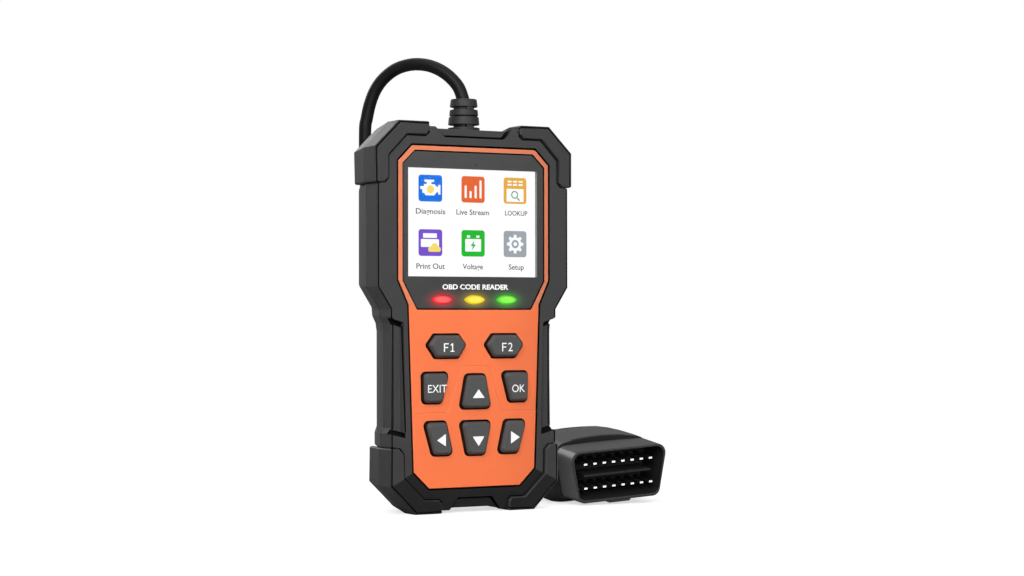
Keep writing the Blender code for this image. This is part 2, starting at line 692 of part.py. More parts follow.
# ---- boots on the lead -----------------------------------------------------------------
def bridged(at, half, wide):
    """Groove radius that is wide at two opposite bridges.

    at is the first bridge's angle and half its half angle, both in degrees.
    """
    def radius_at(angle, radius):
        away = (angle - math.radians(at) + math.pi / 2) % math.pi - math.pi / 2
        return wide if abs(away) < math.radians(half) else radius
    return radius_at


# grooves bridged at front and back, and at the sides
FRONT = bridged(at=90, half=16, wide=5.3)
SIDES = bridged(at=0, half=16, wide=5.4)
BOOT_TOP = 151.7
# radius, z, bridges: up the outside, then down the bore
CABLE_BOOT = [(2.6, 134.2), (4.3, 134.2), (4.3, 136.0), (3.4, 136.0), (3.4, 139.6),
              (5.9, 139.6), (5.9, 141.1), (3.9, 141.4, FRONT), (3.9, 142.2, FRONT),
              (5.8, 142.3), (5.55, 145.1), (3.9, 145.2, SIDES), (3.9, 145.7, SIDES),
              (5.35, 145.8), (5.2, 147.7), (3.9, 147.8, FRONT), (3.9, 148.7, FRONT),
              (5.15, 148.8), (5.0, 151.3), (4.75, BOOT_TOP),
              (4.2, BOOT_TOP), (2.75, PIVOT_Z - 0.6), (2.65, 145.8)]

# grooves bridged at the sides, and at top and bottom
PLUG_SIDES = bridged(at=0, half=18, wide=4.6)
PLUG_UPRIGHT = bridged(at=90, half=18, wide=4.9)
PLUG_BOOT_END = PLUG_PIVOT + 2.3
# radius, y, bridges in the plug frame: back along the outside, then in along the bore
PLUG_BOOT = [(2.75, 42.0), (4.2, 42.0), (4.2, 52.3), (6.0, 52.6), (5.8, 54.8),
             (3.9, 54.9, PLUG_UPRIGHT), (3.9, 55.8, PLUG_UPRIGHT), (5.6, 55.9), (5.4, 58.2),
             (3.8, 58.3, PLUG_SIDES), (3.8, 59.2, PLUG_SIDES), (5.2, 59.3), (5.0, 61.6),
             (3.7, 61.7, PLUG_UPRIGHT), (3.7, 62.6, PLUG_UPRIGHT), (4.95, 62.7),
             (4.8, PLUG_BOOT_END - 0.4), (4.5, PLUG_BOOT_END),
             (4.0, PLUG_BOOT_END), (2.75, PLUG_PIVOT - 0.6), (2.65, 61.0)]


def build_cable_boot(frame):
    body = bored(CABLE_BOOT, (0.0, PART_Y, 0.0), sides=20, axis="z")
    make("cable_boot", [body], "lead_black", frame, origin=(0.0, PART_Y, PIVOT_Z), smooth=30,
         closed=True)


def build_plug_boot(frame):
    body = bored(PLUG_BOOT, PLUG_ZERO, sides=20, axis="y")
    make("plug_boot", [body], "lead_black", frame, origin=(0.0, PLUG_PIVOT, 0.0), smooth=30,
         closed=True)


# ---- lead ------------------------------------------------------------------------------
PLUG_CENTRE = (62.7, 0.5, 11.75)   # centre of the plug's mouth, layout
PLUG_YAW, PLUG_PITCH, PLUG_ROLL = -3.5, 6.0, 3.8   # degrees, as it lies
CABLE_R = 2.35
LOOP_DIR = (-0.595, 0.804)         # plan direction (x, y) of the loop
# the lead climbs out of the boot and loops over to the back: distance along LOOP_DIR, z
LOOP = [(0.0, PIVOT_Z), (0.35, 152.0), (2.5, 156.9), (7.2, 161.5), (12.9, 164.5),
        (18.8, 165.7), (24.2, 165.4), (29.0, 163.9), (33.4, 160.9), (36.7, 157.0),
        (39.0, 152.0), (40.4, 146.6), (41.2, 141.0)]
# then hangs behind the handset and comes round to the plug: x, y, z
LEAD_TAIL = [(-23.4, 42.8, 122.0), (-18.6, 44.3, 98.0), (-10.5, 48.0, 69.0),
             (0.5, 55.5, 39.0), (12.5, 68.0, 16.0), (27.0, 84.5, 5.4),
             (44.5, 97.6, 3.5), (59.5, 100.0, 8.0), (67.0, 89.0, 15.6)]
# and enters the plug's boot: x, y, z in the plug frame
LEAD_END = [(0.0, PLUG_PIVOT + 10.0, 0.3), (0.0, PLUG_PIVOT + 3.0, 0.0),
            (0.0, PLUG_PIVOT, 0.0)]
BALL_RINGS = 4         # rings on each rounded end
BALL_DIVISOR = 4.6     # a quarter turn over this is the angle between those rings


def plug_matrix():
    return (Matrix.Translation(to_model(PLUG_CENTRE))
            @ (Matrix.Rotation(math.radians(PLUG_YAW), 4, "Z")
               @ Matrix.Rotation(math.radians(PLUG_PITCH), 4, "X")
               @ Matrix.Rotation(math.radians(-PLUG_ROLL), 4, "Y")))


def plug_to_layout(point):
    x, y, z = plug_matrix() @ (Vector(point) * MM)
    return (x / MM, y / MM + BACK_Y, z / MM + MID_Z)


def build_cable():
    loop = [(LOOP_DIR[0] * along, PART_Y + LOOP_DIR[1] * along, z) for along, z in LOOP]
    path = spline(loop + LEAD_TAIL + [plug_to_layout(p) for p in LEAD_END], per=2)
    # both ends are balls centred on the bending points, inside the boots
    angles = [math.radians(90 * k / BALL_DIVISOR) for k in range(1, BALL_RINGS + 1)]
    reaches = [CABLE_R * math.sin(a) for a in angles]
    ball_radii = [CABLE_R * math.cos(a) for a in angles]
    start_dir = (path[1] - path[0]).normalized()
    end_dir = (path[-1] - path[-2]).normalized()
    radii = ball_radii[::-1] + [CABLE_R] * len(path) + ball_radii
    path = ([path[0] - start_dir * reach for reach in reversed(reaches)] + path
            + [path[-1] + end_dir * reach for reach in reaches])
    make("cable", [tube(path, radii, sides=10)], "lead_black", Frame(None, HANDSET_ZERO),
         origin=(0.0, PART_Y, PIVOT_Z), smooth=60)


# ---- plug, in its own frame ----------------------------------------------------------------
# y, then outline: half width at top and bottom, top z, bottom z, top and bottom corner radius
PLUG_SECTIONS = [
    (0.0, (20.2, 16.9, 9.3, -9.3, 3.0, 2.4)), (0.5, (20.6, 17.3, 9.7, -9.7, 3.4, 2.8)),
    (12.4, (20.9, 17.7, 10.0, -10.0, 3.6, 3.0)), (13.6, (20.3, 17.3, 9.4, -10.4, 3.6, 3.2)),
    (17.0, (21.9, 19.0, 10.9, -12.0, 5.0, 4.0)), (24.0, (22.6, 19.6, 11.4, -13.6, 6.0, 5.0)),
    (36.0, (21.6, 18.6, 11.2, -13.6, 6.5, 5.5)), (45.0, (17.6, 15.6, 9.6, -11.4, 6.5, 5.5)),
    (50.0, (12.4, 11.4, 7.6, -8.6, 5.5, 5.0)), (52.0, (9.0, 8.6, 6.4, -6.8, 4.4, 4.2)),
]
PLUG_CAVITY = (18.9, 15.8, 8.1, -8.1, 2.2, 1.8)
PLUG_CAVITY_SPAN = (-2.0, 33.0)
PLUG_RIB = [(-4.8, -9.0), (4.8, -9.0), (4.8, -9.95), (4.2, -10.5), (-4.2, -10.5),
            (-4.8, -9.95)]
PLUG_RIB_SPAN = (0.4, 12.0)
PLUG_BORE = [(4.5, 31.0), (4.5, 56.0)]     # radius, y

PIN_BLOCK = (18.6, 15.5, 7.8, -7.8, 1.9, 1.5)
BLOCK_FRONT = 13.0
BLOCK_BACK = 19.0
TONGUE_HALF = (14.4, 0.5)
TONGUE_SPAN = (1.6, 14.0)
SLOT_CUT = (11.0, 22.0)

PIN_PITCH = 4.0        # diagnostic plug, SAE J1962 pattern
PIN_COUNT = 8          # in each of two rows
ROW_SPACING = 8.8
PIN_HALF_W, PIN_HALF_H = 0.8, 0.45
# pin, mouth end first: inset at the sides, inset at top and bottom, y
PIN_LEVELS = [(0.3, 0.2, 1.0), (0.0, 0.0, 1.9), (0.0, 0.0, 24.0)]
PIN_CENTRES = [((k - (PIN_COUNT - 1) / 2) * PIN_PITCH, side * ROW_SPACING / 2)
               for side in (1, -1) for k in range(PIN_COUNT)]


def plug_outline(half_top, half_low, top, low, top_radius, low_radius):
    points = [(-half_top, top), (half_top, top), (half_low, low), (-half_low, low)]
    return rounded(points, [top_radius, top_radius, low_radius, low_radius], steps=3)


def build_plug_shell(frame):
    body = stack([(plug_outline(*sizes), y) for y, sizes in PLUG_SECTIONS])
    shell = make("plug_shell", [body], "shell_black", frame, smooth=35)
    # locating rib under the mouth
    combine(shell, "plug_rib", [prism(PLUG_RIB, *PLUG_RIB_SPAN)], frame, "UNION")
    hollow = prism(plug_outline(*PLUG_CAVITY), *PLUG_CAVITY_SPAN)
    combine(shell, "plug_cavity", [hollow], frame)
    combine(shell, "plug_bore", [turned(PLUG_BORE, PLUG_ZERO, sides=16)], frame)


def build_pin_block(frame):
    """Insert that carries the pins, with the flat tongue between the rows."""
    body = prism(plug_outline(*PIN_BLOCK), BLOCK_FRONT, BLOCK_BACK)
    block = make("pin_block", [body], "block_black", frame)
    tongue = prism(rect_at(0.0, 0.0, *TONGUE_HALF), *TONGUE_SPAN)
    combine(block, "tongue", [tongue], frame, "UNION")
    slots = [prism(rect_at(x, z, PIN_HALF_W + GAP, PIN_HALF_H + GAP), *SLOT_CUT)
             for x, z in PIN_CENTRES]
    combine(block, "pin_slots", slots, frame)


def build_pins(frame):
    for number, (x, z) in enumerate(PIN_CENTRES, 1):
        pin = stack([(rect_at(x, z, PIN_HALF_W - inset_x, PIN_HALF_H - inset_z), y)
                     for inset_x, inset_z, y in PIN_LEVELS])
        make("pin_%02d" % number, [pin], "pin_metal", frame, origin=(x, BLOCK_FRONT, z))


def build():
    for ob in list(bpy.data.objects):
        bpy.data.objects.remove(ob, do_unlink=True)
    handset = new_frame("handset_frame", HANDSET_ZERO, Matrix.Identity(4))
    for build_piece in (build_front_shell, build_rear_shell, build_bumpers, build_face_plate,
                        build_lens, build_lcd, build_ribbon, build_lights, build_keys,
                        build_keypad, build_board, build_screws, build_wires,
                        build_cable_boot):
        build_piece(handset)
    build_cable()
    plug = new_frame("plug_frame", PLUG_ZERO, plug_matrix())
    for build_piece in (build_plug_shell, build_pin_block, build_pins, build_plug_boot):
        build_piece(plug)


build()
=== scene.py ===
"""Looks for a handheld OBD code reader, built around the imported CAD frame.

The handset stands upright and faces the front: a split shell with corner bumpers, an orange
face plate, a lit display and eight keys. Its lead leaves the top, loops round the back and
ends in a sixteen-pin plug that lies to the right, its mouth to the front.

Numbers are millimetres in the handset's layout frame: x to the right of the plane of
symmetry, y back from the front of the shell, z up from the standing plane. Every mesh is
shaped in those millimetres and then turned into row-frame metres. Outlines are (x, z) points.
A mesh named <node>_fine takes the place of the CAD node <node>.
"""
import bpy
import bmesh
import math
from mathutils import Matrix, Vector


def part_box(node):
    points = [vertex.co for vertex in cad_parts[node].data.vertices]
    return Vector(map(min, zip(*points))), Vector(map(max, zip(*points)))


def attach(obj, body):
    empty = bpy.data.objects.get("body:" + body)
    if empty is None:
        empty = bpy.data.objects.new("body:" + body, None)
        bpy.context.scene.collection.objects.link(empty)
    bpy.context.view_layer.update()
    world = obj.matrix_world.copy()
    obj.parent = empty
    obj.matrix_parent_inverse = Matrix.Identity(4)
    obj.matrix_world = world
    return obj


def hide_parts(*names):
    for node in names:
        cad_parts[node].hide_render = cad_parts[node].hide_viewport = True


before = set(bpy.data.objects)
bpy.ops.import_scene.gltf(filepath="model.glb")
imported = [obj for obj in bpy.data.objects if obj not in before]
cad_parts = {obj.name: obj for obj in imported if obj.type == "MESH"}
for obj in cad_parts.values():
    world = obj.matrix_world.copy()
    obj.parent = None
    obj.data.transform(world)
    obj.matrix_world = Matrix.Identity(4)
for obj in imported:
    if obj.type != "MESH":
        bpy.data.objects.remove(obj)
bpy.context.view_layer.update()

BACK_Y, MID_Z = 26.0, 71.0      # layout place of the row frame's origin
TO_ROW = Matrix.Scale(0.001, 4) @ Matrix.Translation((0.0, -BACK_Y, -MID_Z))


def box_mm(node):
    """A CAD node's low and high corners in layout millimetres."""
    to_layout = TO_ROW.inverted()
    low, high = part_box(node)
    return to_layout @ low, to_layout @ high


# ---- places read from the frame ----------------------------------------------------------
PART_Y = box_mm("front_shell")[1].y         # where front and rear shell meet
KEY_Y = box_mm("key_ok")[0].y               # front of the keys
LENS_LOW, LENS_HIGH = box_mm("screen_lens")
LENS_FRONT, LENS_BACK = LENS_LOW.y, LENS_HIGH.y

# ---- driving dimensions ------------------------------------------------------------------
GAP = 0.3                       # clearance round fitted parts
KEY_GAP = 0.35
WALL_Y = 3.8                    # inner side of the front wall
PLATE_POCKET_Y, BUMPER_POCKET_Y = 1.8, 1.9
CUT_FRONT = -3.0                # cutters start clear of the front
BUMPER_PROUD, BUMPER_BACK = 1.0, 21.5
LCD_HALF, LCD_Z0, LCD_Z1 = 26.4, 85.95, 125.45
LIGHT_X, LIGHT_Z = 13.4, 77.6
LIGHT_XS = (-LIGHT_X, 0.0, LIGHT_X)
CABLE_R, PIVOT_Z, BOOT_TOP = 2.35, 149.4, 151.7
PIN_PITCH, PIN_COUNT, ROW_SPACING, PIN_W, PIN_H = 4.0, 8, 8.8, 1.6, 0.9
PLUG_CENTRE = (62.7, 0.5, 11.75)            # middle of the mouth
PLUG_YAW, PLUG_PITCH, PLUG_ROLL = -3.5, 6.0, 3.8
PLUG_PIVOT = 67.5               # from the mouth to the end of the lead

# Right halves of the outlines, from the top down; the left half mirrors them.
# Each BACK outline matches its partner point for point.
SHELL = [(14.2, 139.95), (16.0, 140.6), (18.4, 140.6), (18.4, 139.5), (30.1, 139.5),
         (38.1, 131.5), (38.1, 119.5), (39.7, 119.5), (39.7, 82.2), (34.5, 74.1),
         (34.5, 71.4), (33.2, 69.2), (32.9, 66.0), (32.9, 31.2), (34.3, 29.4),
         (34.3, 24.2), (32.5, 24.2), (32.5, 11.1), (23.8, 2.4), (13.4, 2.4),
         (13.4, 1.0), (10.2, 1.0), (9.2, 1.8)]
SHELL_BACK = [(13.0, 134.0), (14.8, 134.0), (17.0, 134.0), (18.4, 134.0), (29.2, 134.0),
              (33.7, 129.5), (34.3, 118.4), (34.4, 117.0), (34.4, 83.6), (29.3, 75.4),
              (28.9, 72.0), (27.5, 69.0), (27.0, 66.0), (26.9, 31.6), (26.9, 29.0),
              (26.9, 25.4), (26.9, 23.8), (26.9, 13.5), (21.4, 8.0), (13.4, 8.0),
              (12.4, 8.0), (10.2, 8.0), (9.2, 8.0)]
CAVITY = [(29.1, 137.1), (35.9, 130.4), (35.9, 118.5), (37.4, 117.0), (37.4, 83.0),
          (32.4, 75.2), (32.4, 71.8), (30.7, 68.5), (30.7, 31.5), (30.3, 25.0),
          (30.3, 12.0), (22.9, 4.6), (9.5, 4.6)]
CAVITY_BACK = [(27.4, 131.8), (31.4, 127.8), (31.4, 117.0), (31.4, 115.8), (31.4, 84.6),
               (26.2, 76.2), (26.0, 72.0), (24.7, 68.5), (24.7, 31.5), (24.7, 25.0),
               (24.7, 14.4), (20.4, 10.2), (9.5, 10.2)]
PLATE = [(25.6, 133.5), (31.35, 127.7), (31.35, 84.7), (27.2, 75.7), (25.2, 15.2),
         (18.85, 9.0)]
LENS = [(24.4, 131.4), (29.2, 126.7), (29.2, 84.5), (23.55, 74.2)]

# (y, how far the outline has gone from front to back outline)
TAPER = [(8.8, 0.0), (13.5, 0.15), (19.0, 0.37), (23.0, 0.70), (26.0, 1.0)]

# Edge profiles: (offset from the outline, y)
SHELL_EDGE = [(-0.52, 0.0), (-0.30, 0.08), (-0.10, 0.30), (-0.02, 0.55), (0.0, 0.85),
              (0.0, PART_Y)]
PLATE_EDGE = [(-0.34, 0.0), (-0.16, 0.06), (-0.06, 0.18), (-0.03, 0.40), (0.0, 0.55),
              (0.0, 1.5)]
LENS_EDGE = [(-0.28, LENS_FRONT), (-0.12, LENS_FRONT + 0.05), (-0.04, LENS_FRONT + 0.16),
             (0.0, LENS_FRONT + 0.32), (0.0, LENS_BACK)]
KEY_EDGE = [(-KEY_GAP - 1.22, KEY_Y), (-KEY_GAP - 1.06, KEY_Y + 0.02),
            (-KEY_GAP - 0.92, KEY_Y + 0.09), (-KEY_GAP - 0.82, KEY_Y + 0.20),
            (-KEY_GAP - 0.30, -1.20), (-KEY_GAP - 0.20, -1.02), (-KEY_GAP - 0.14, -0.70),
            (-KEY_GAP - 0.06, WALL_Y + 0.3), (0.8, WALL_Y + 0.3), (0.8, WALL_Y + 1.3)]

# Key outlines; the two side keys are the right-hand ones
HEX = [(3.6, 61.15), (6.8, 65.2), (17.2, 65.2), (20.4, 61.15), (16.85, 56.1), (6.95, 56.1)]
SIDE_TOP = [(10.6, 51.45), (22.2, 51.4), (21.95, 39.75), (13.75, 39.7)]
SIDE_LOW = [(11.95, 33.65), (21.6, 33.6), (17.9, 20.8), (8.95, 20.8)]
UP = [(-4.25, 50.6), (4.25, 50.6), (6.8, 37.55), (-6.8, 37.55)]
DOWN = [(-6.85, 33.55), (6.85, 33.55), (4.05, 20.55), (-4.05, 20.55)]

# Right-hand bumpers, station by station: outer, inner and front-pad edge of the section
BUMPER_TOP = [((18.75, 142.2), (18.75, 139.85), (18.75, 138.3)),
              ((20.2, 142.2), (20.2, 139.85), (20.2, 137.1)),
              ((31.2, 142.2), (30.25, 139.85), (27.9, 137.1)),
              ((40.9, 132.5), (38.45, 131.65), (35.1, 129.6)),
              ((40.9, 121.4), (38.45, 121.4), (35.1, 121.4)),
              ((40.9, 119.64), (38.45, 119.64), (36.4, 119.7))]
BUMPER_LOW = [((34.9, 24.06), (32.85, 24.06), (30.6, 23.95)),
              ((34.9, 21.9), (32.85, 21.9), (29.1, 21.9)),
              ((34.9, 10.3), (32.85, 10.95), (28.95, 13.1)),
              ((24.6, 0.0), (23.95, 2.05), (20.6, 5.1)),
              ((14.9, 0.0), (14.9, 2.05), (14.9, 5.1)),
              ((13.75, 0.0), (13.75, 2.05), (13.75, 4.2))]
# Pockets for the bumpers in the front of the shell
POCKET_TOP = [(18.45, 146.0), (18.45, 138.2), (20.05, 136.8), (27.7, 136.8),
              (34.8, 129.4), (34.8, 121.25), (36.2, 119.55), (46.0, 119.55), (46.0, 146.0)]
POCKET_LOW = [(40.0, 24.15), (30.5, 24.15), (28.8, 22.0), (28.65, 13.25), (20.45, 5.4),
              (14.75, 5.4), (13.45, 4.3), (13.45, -4.0), (40.0, -4.0)]
CASE_SCREWS = [(-30.3, 129.3), (30.3, 129.3), (-22.5, 15.5), (22.5, 15.5)]
BOARD_SCREWS = [(-24.5, 79.0), (24.5, 79.0)]

# Relief line inside the shell's right edge: (x, z, depth)
RELIEF = [(39.7, 119.2, 0.85), (39.7, 82.2, 0.85), (34.5, 74.1, 0.85), (34.5, 71.0, 0.90),
          (33.3, 69.3, 1.6), (32.9, 67.4, 3.2), (32.9, 31.8, 3.2), (33.7, 30.0, 1.6),
          (34.3, 28.9, 0.90), (34.3, 24.4, 0.85)]

# Lead: first (distance along LOOP_DIR, z), then (x, y, z) down the back to the plug
LOOP_DIR = (-0.595, 0.804)
LOOP = [(0.0, PIVOT_Z), (0.35, 152.0), (2.5, 156.9), (7.2, 161.5), (12.9, 164.5),
        (18.8, 165.7), (24.2, 165.4), (29.0, 163.9), (33.4, 160.9), (36.7, 157.0),
        (39.0, 152.0), (40.4, 146.6), (41.2, 141.0)]
LEAD_TAIL = [(-23.4, 42.8, 122.0), (-18.6, 44.3, 98.0), (-10.5, 48.0, 69.0),
             (0.5, 55.5, 39.0), (12.5, 68.0, 16.0), (27.0, 84.5, 5.4),
             (44.5, 97.6, 3.5), (59.5, 100.0, 8.0), (67.0, 89.0, 15.6)]


# ---- outlines ----------------------------------------------------------------------------
def mirrored(half):
    return half + flip(half)


def flip(points):
    """The outline on the other side, in reverse order so that it turns the same way."""
    return [(-x, z) for x, z in reversed(points)]


def sided(points, side):
    return [(side * x, z) for x, z in points]


def moved(points, cx, cz):
    return [(x + cx, z + cz) for x, z in points]


def blended(first, second, share):
    return [(p[0] + (q[0] - p[0]) * share, p[1] + (q[1] - p[1]) * share)
            for p, q in zip(first, second)]


def miter(edge_in, edge_out, least):
    """Direction of the mitre between two edges, and its limited cosine."""
    normal_in = Vector((edge_in.y, -edge_in.x))
    normal_out = Vector((edge_out.y, -edge_out.x))
    middle = (normal_in + normal_out).normalized()
    return middle, max(middle.dot(normal_in), least)


def offset(points, distance):
    """Closed outline moved outwards."""
    area = sum(points[i - 1][0] * points[i][1] - points[i][0] * points[i - 1][1]
               for i in range(len(points)))
    side = 1.0 if area > 0 else -1.0
    out = []
    for i in range(len(points)):
        before, corner = Vector(points[i - 1]), Vector(points[i])
        after = Vector(points[(i + 1) % len(points)])
        middle, cosine = miter((corner - before).normalized(),
                               (after - corner).normalized(), 0.2)
        out.append(tuple(corner + middle * (side * distance / cosine)))
    return out


def soft(points, radius, steps=5):
    """Outline with every corner turned into an arc that its edges have room for."""
    out = []
    for i in range(len(points)):
        before, corner = Vector(points[i - 1]), Vector(points[i])
        after = Vector(points[(i + 1) % len(points)])
        wanted = radius[i] if isinstance(radius, (list, tuple)) else radius
        length_in, length_out = (before - corner).length, (after - corner).length
        to_in, to_out = (before - corner) / length_in, (after - corner) / length_out
        room = min(length_in, length_out)
        angle = to_in.angle(to_out)
        trim = min(wanted / math.tan(angle / 2), 0.45 * room) if angle > 0.01 else 0.0
        trim = max(trim, min(0.04, 0.2 * room))
        if angle > 3.05:        # nearly straight: the same count of points along the edges
            for k in range(steps + 1):
                w = k / steps
                p = (corner + to_in * trim * (1 - 2 * w) if w <= 0.5
                     else corner + to_out * trim * (2 * w - 1))
                out.append((p.x, p.y))
            continue
        fitted = trim * math.tan(angle / 2)
        centre = corner + (to_in + to_out).normalized() * (fitted / math.sin(angle / 2))
        first, last = corner + to_in * trim - centre, corner + to_out * trim - centre
        start = math.atan2(first.y, first.x)
        sweep = math.atan2(last.y, last.x) - start
        sweep = (sweep + math.pi) % (2 * math.pi) - math.pi
        for k in range(steps + 1):
            w = start + sweep * k / steps
            out.append((centre.x + fitted * math.cos(w), centre.y + fitted * math.sin(w)))
    return out


def rounded_line(points, radius, steps=5):
    """Open line with its inner corners turned into arcs."""
    out = [points[0]]
    for i in range(1, len(points) - 1):
        arcs = soft(points[i - 1:i + 2], [0.01, radius, 0.01], steps)
        out += arcs[steps + 1:2 * (steps + 1)]
    return out + [points[-1]]


def circle(cx, cz, radius, count=32):
    return [(cx + radius * math.cos(2 * math.pi * k / count),
             cz + radius * math.sin(2 * math.pi * k / count)) for k in range(count)]


def rect(x0, z0, x1, z1, grow=0.0):
    x0, z0, x1, z1 = x0 - grow, z0 - grow, x1 + grow, z1 + grow
    return [(x0, z0), (x1, z0), (x1, z1), (x0, z1)]


def light_oval(cx, half_w, half_h, steps=20):
    """Pointed oval at a light: two shallow arcs."""
    top = []
    for k in range(steps + 1):
        x = -half_w * math.cos(math.pi * k / steps)
        rise = half_h * max(0.0, 1 - abs(x / half_w) ** 2.2) ** 0.72
        top.append((cx + x, LIGHT_Z + rise))
    return top + [(x, 2 * LIGHT_Z - z) for x, z in reversed(top[1:-1])]


# ---- solids: each is a list of rings of (x, y, z) points ---------------------------------
def ring(points, y):
    return [(x, y, z) for x, z in points]


def prism(points, y0, y1):
    return [ring(points, y0), ring(points, y1)]


def edged(outline, profile, radius, steps):
    """Rings of an outline that follow an edge profile."""
    return [ring(soft(offset(outline, d), radius, steps), y) for d, y in profile]


def strip(points, half, depth):
    """Groove cutter: a bar of the given half width along an open line.
    depth is the bottom's y, one number or one for each point."""
    top = -1.5
    edges = [(Vector(b) - Vector(a)).normalized() for a, b in zip(points, points[1:])]
    depths = depth if isinstance(depth, list) else [depth] * len(points)
    rings = []
    for i, bottom in enumerate(depths):
        here = Vector(points[i])
        across, cosine = miter(edges[max(i - 1, 0)], edges[min(i, len(edges) - 1)], 0.35)
        reach = half / cosine
        left, right = here - across * reach, here + across * reach
        middle = (left + right) / 2
        foot_left, foot_right = middle + (left - middle) * 0.72, middle + (right - middle) * 0.72
        shoulder = bottom - half * 0.5
        rings.append([(left.x, top, left.y), (right.x, top, right.y),
                      (right.x, shoulder, right.y), (foot_right.x, bottom, foot_right.y),
                      (foot_left.x, bottom, foot_left.y), (left.x, shoulder, left.y)])
    return rings


def polar(centre, axis, radius, angle, height):
    across, up = radius * math.cos(angle), radius * math.sin(angle)
    if axis == "y":
        return (centre[0] + across, centre[1] + height, centre[2] + up)
    return (centre[0] + across, centre[1] + up, centre[2] + height)


def turned(profile, centre, axis="y", count=32):
    """Solid of revolution with flat ends; the profile is (radius, height)."""
    return [[polar(centre, axis, radius, 2 * math.pi * (k + 0.5) / count, height)
             for k in range(count)] for radius, height in profile]


def lathe(profile, centre, axis, count=64, phase=0.5):
    """Turned piece with a bore: the profile is a closed loop of (radius, height[, bridge]).
    A bridge (angle, half angle, wide radius) holds that radius on two opposite sides."""
    rings = []
    for k in range(count):
        angle = 2 * math.pi * (k + phase) / count
        row = []
        for radius, height, *bridges in profile:
            for at, half, wide in bridges:
                away = (angle - math.radians(at) + math.pi / 2) % math.pi - math.pi / 2
                if abs(away) < math.radians(half):
                    radius = wide
            row.append(polar(centre, axis, radius, angle, height))
        rings.append(row)
    return rings + [rings[0]]


# ---- meshes ------------------------------------------------------------------------------
def loft(bm, rings):
    """Skin over rings; capped, unless the last ring is the first and the skin closes."""
    closed = rings[-1] is rings[0]
    rows = [[bm.verts.new(p) for p in r] for r in (rings[:-1] if closed else rings)]
    if closed:
        rows.append(rows[0])
    count = len(rows[0])
    for near, far in zip(rows, rows[1:]):
        for i in range(count):
            j = (i + 1) % count
            bm.faces.new((near[i], near[j], far[j], far[i]))
    if not closed:
        bm.faces.new(list(reversed(rows[0])))
        bm.faces.new(rows[-1])


def mesh_object(name, bm):
    bmesh.ops.recalc_face_normals(bm, faces=bm.faces)
    mesh = bpy.data.meshes.new(name)
    bm.to_mesh(mesh)
    bm.free()
    mesh.materials.append(None)
    mesh.materials.append(None)
    ob = bpy.data.objects.new(name, mesh)
    bpy.context.scene.collection.objects.link(ob)
    return ob


def build(name, *solids):
    bm = bmesh.new()
    for rings in solids:
        loft(bm, rings)
    return mesh_object(name, bm)


def plates(name, outlines, y0, y1):
    return build(name, *[prism(outline, y0, y1) for outline in outlines])


def join(name, obs):
    """One object from several millimetre meshes."""
    bm = bmesh.new()
    for ob in obs:
        bm.from_mesh(ob.data)
        bpy.data.objects.remove(ob, do_unlink=True)
    return mesh_object(name, bm)


def settle(ob):
    """Applies the object's modifiers to its own mesh."""
    graph = bpy.context.evaluated_depsgraph_get()
    mesh = bpy.data.meshes.new_from_object(ob.evaluated_get(graph))
    old = ob.data
    ob.modifiers.clear()
    ob.data = mesh
    bpy.data.meshes.remove(old)


def bulk(mesh, fill=False):
    """Volume of a mesh and its count of open edges; fill first closes hairline holes."""
    bm = bmesh.new()
    bm.from_mesh(mesh)
    if fill:
        edges = [e for e in bm.edges if len(e.link_faces) == 1]
        bmesh.ops.holes_fill(bm, edges=edges, sides=0)
        bm.to_mesh(mesh)
        bm.free()
        return bulk(mesh)
    volume, bad = bm.calc_volume(), sum(1 for e in bm.edges if not e.is_manifold)
    bm.free()
    return volume, bad


def carve(ob, *solids, operation="DIFFERENCE", dark=False):
    """Boolean; an open result, or one that lost far too much, is undone and tried again
    with the cutter nudged. dark: the new walls take the piece's second material, painted shade."""
    tool = build("tool", *solids)
    if dark:
        for face in tool.data.polygons:
            face.material_index = 1
    before = ob.data.copy()
    whole = bulk(before)[0]
    for k in range(6):
        tool.data.transform(Matrix.Translation((0.0007 * k, 0.0009 * k, -0.0011 * k)))
        mod = ob.modifiers.new("carve", "BOOLEAN")
        mod.operation, mod.solver, mod.object = operation, "EXACT", tool
        settle(ob)
        volume, bad = bulk(ob.data)
        if 0 < bad < 16:
            volume, bad = bulk(ob.data, fill=True)
        if bad == 0 and volume > whole * 0.015:
            break
        old, ob.data = ob.data, before.copy()
        bpy.data.meshes.remove(old)
    bpy.data.meshes.remove(before)
    bpy.data.objects.remove(tool, do_unlink=True)


def soften(ob, width=0.0, angle=34.0, smooth=40.0, splits=()):
    """Rounds the sharp edges of a mesh, still in millimetres. Each split is a plane
    (point, normal) that cuts ring-shaped flats into plain polygons first."""
    bm = bmesh.new()
    bm.from_mesh(ob.data)
    bmesh.ops.remove_doubles(bm, verts=bm.verts, dist=0.004)
    bmesh.ops.dissolve_limit(bm, angle_limit=math.radians(0.6), verts=bm.verts,
                             edges=bm.edges, use_dissolve_boundaries=False)
    for point, normal in splits:
        bmesh.ops.bisect_plane(bm, geom=bm.verts[:] + bm.edges[:] + bm.faces[:], dist=0.0005,
                               plane_co=point, plane_no=normal)
    bm.to_mesh(ob.data)
    bm.free()
    if width:
        mod = ob.modifiers.new("soft", "BEVEL")
        mod.width, mod.segments = width, 2
        mod.limit_method, mod.angle_limit = "ANGLE", math.radians(angle)
        mod.use_clamp_overlap = False
        mod.miter_outer = "MITER_ARC"
        settle(ob)
    ob.data.shade_smooth()
    ob.data.set_sharp_from_angle(angle=math.radians(smooth))
    mod = ob.modifiers.new("normals", "WEIGHTED_NORMAL")
    mod.keep_sharp, mod.weight = True, 80
    settle(ob)


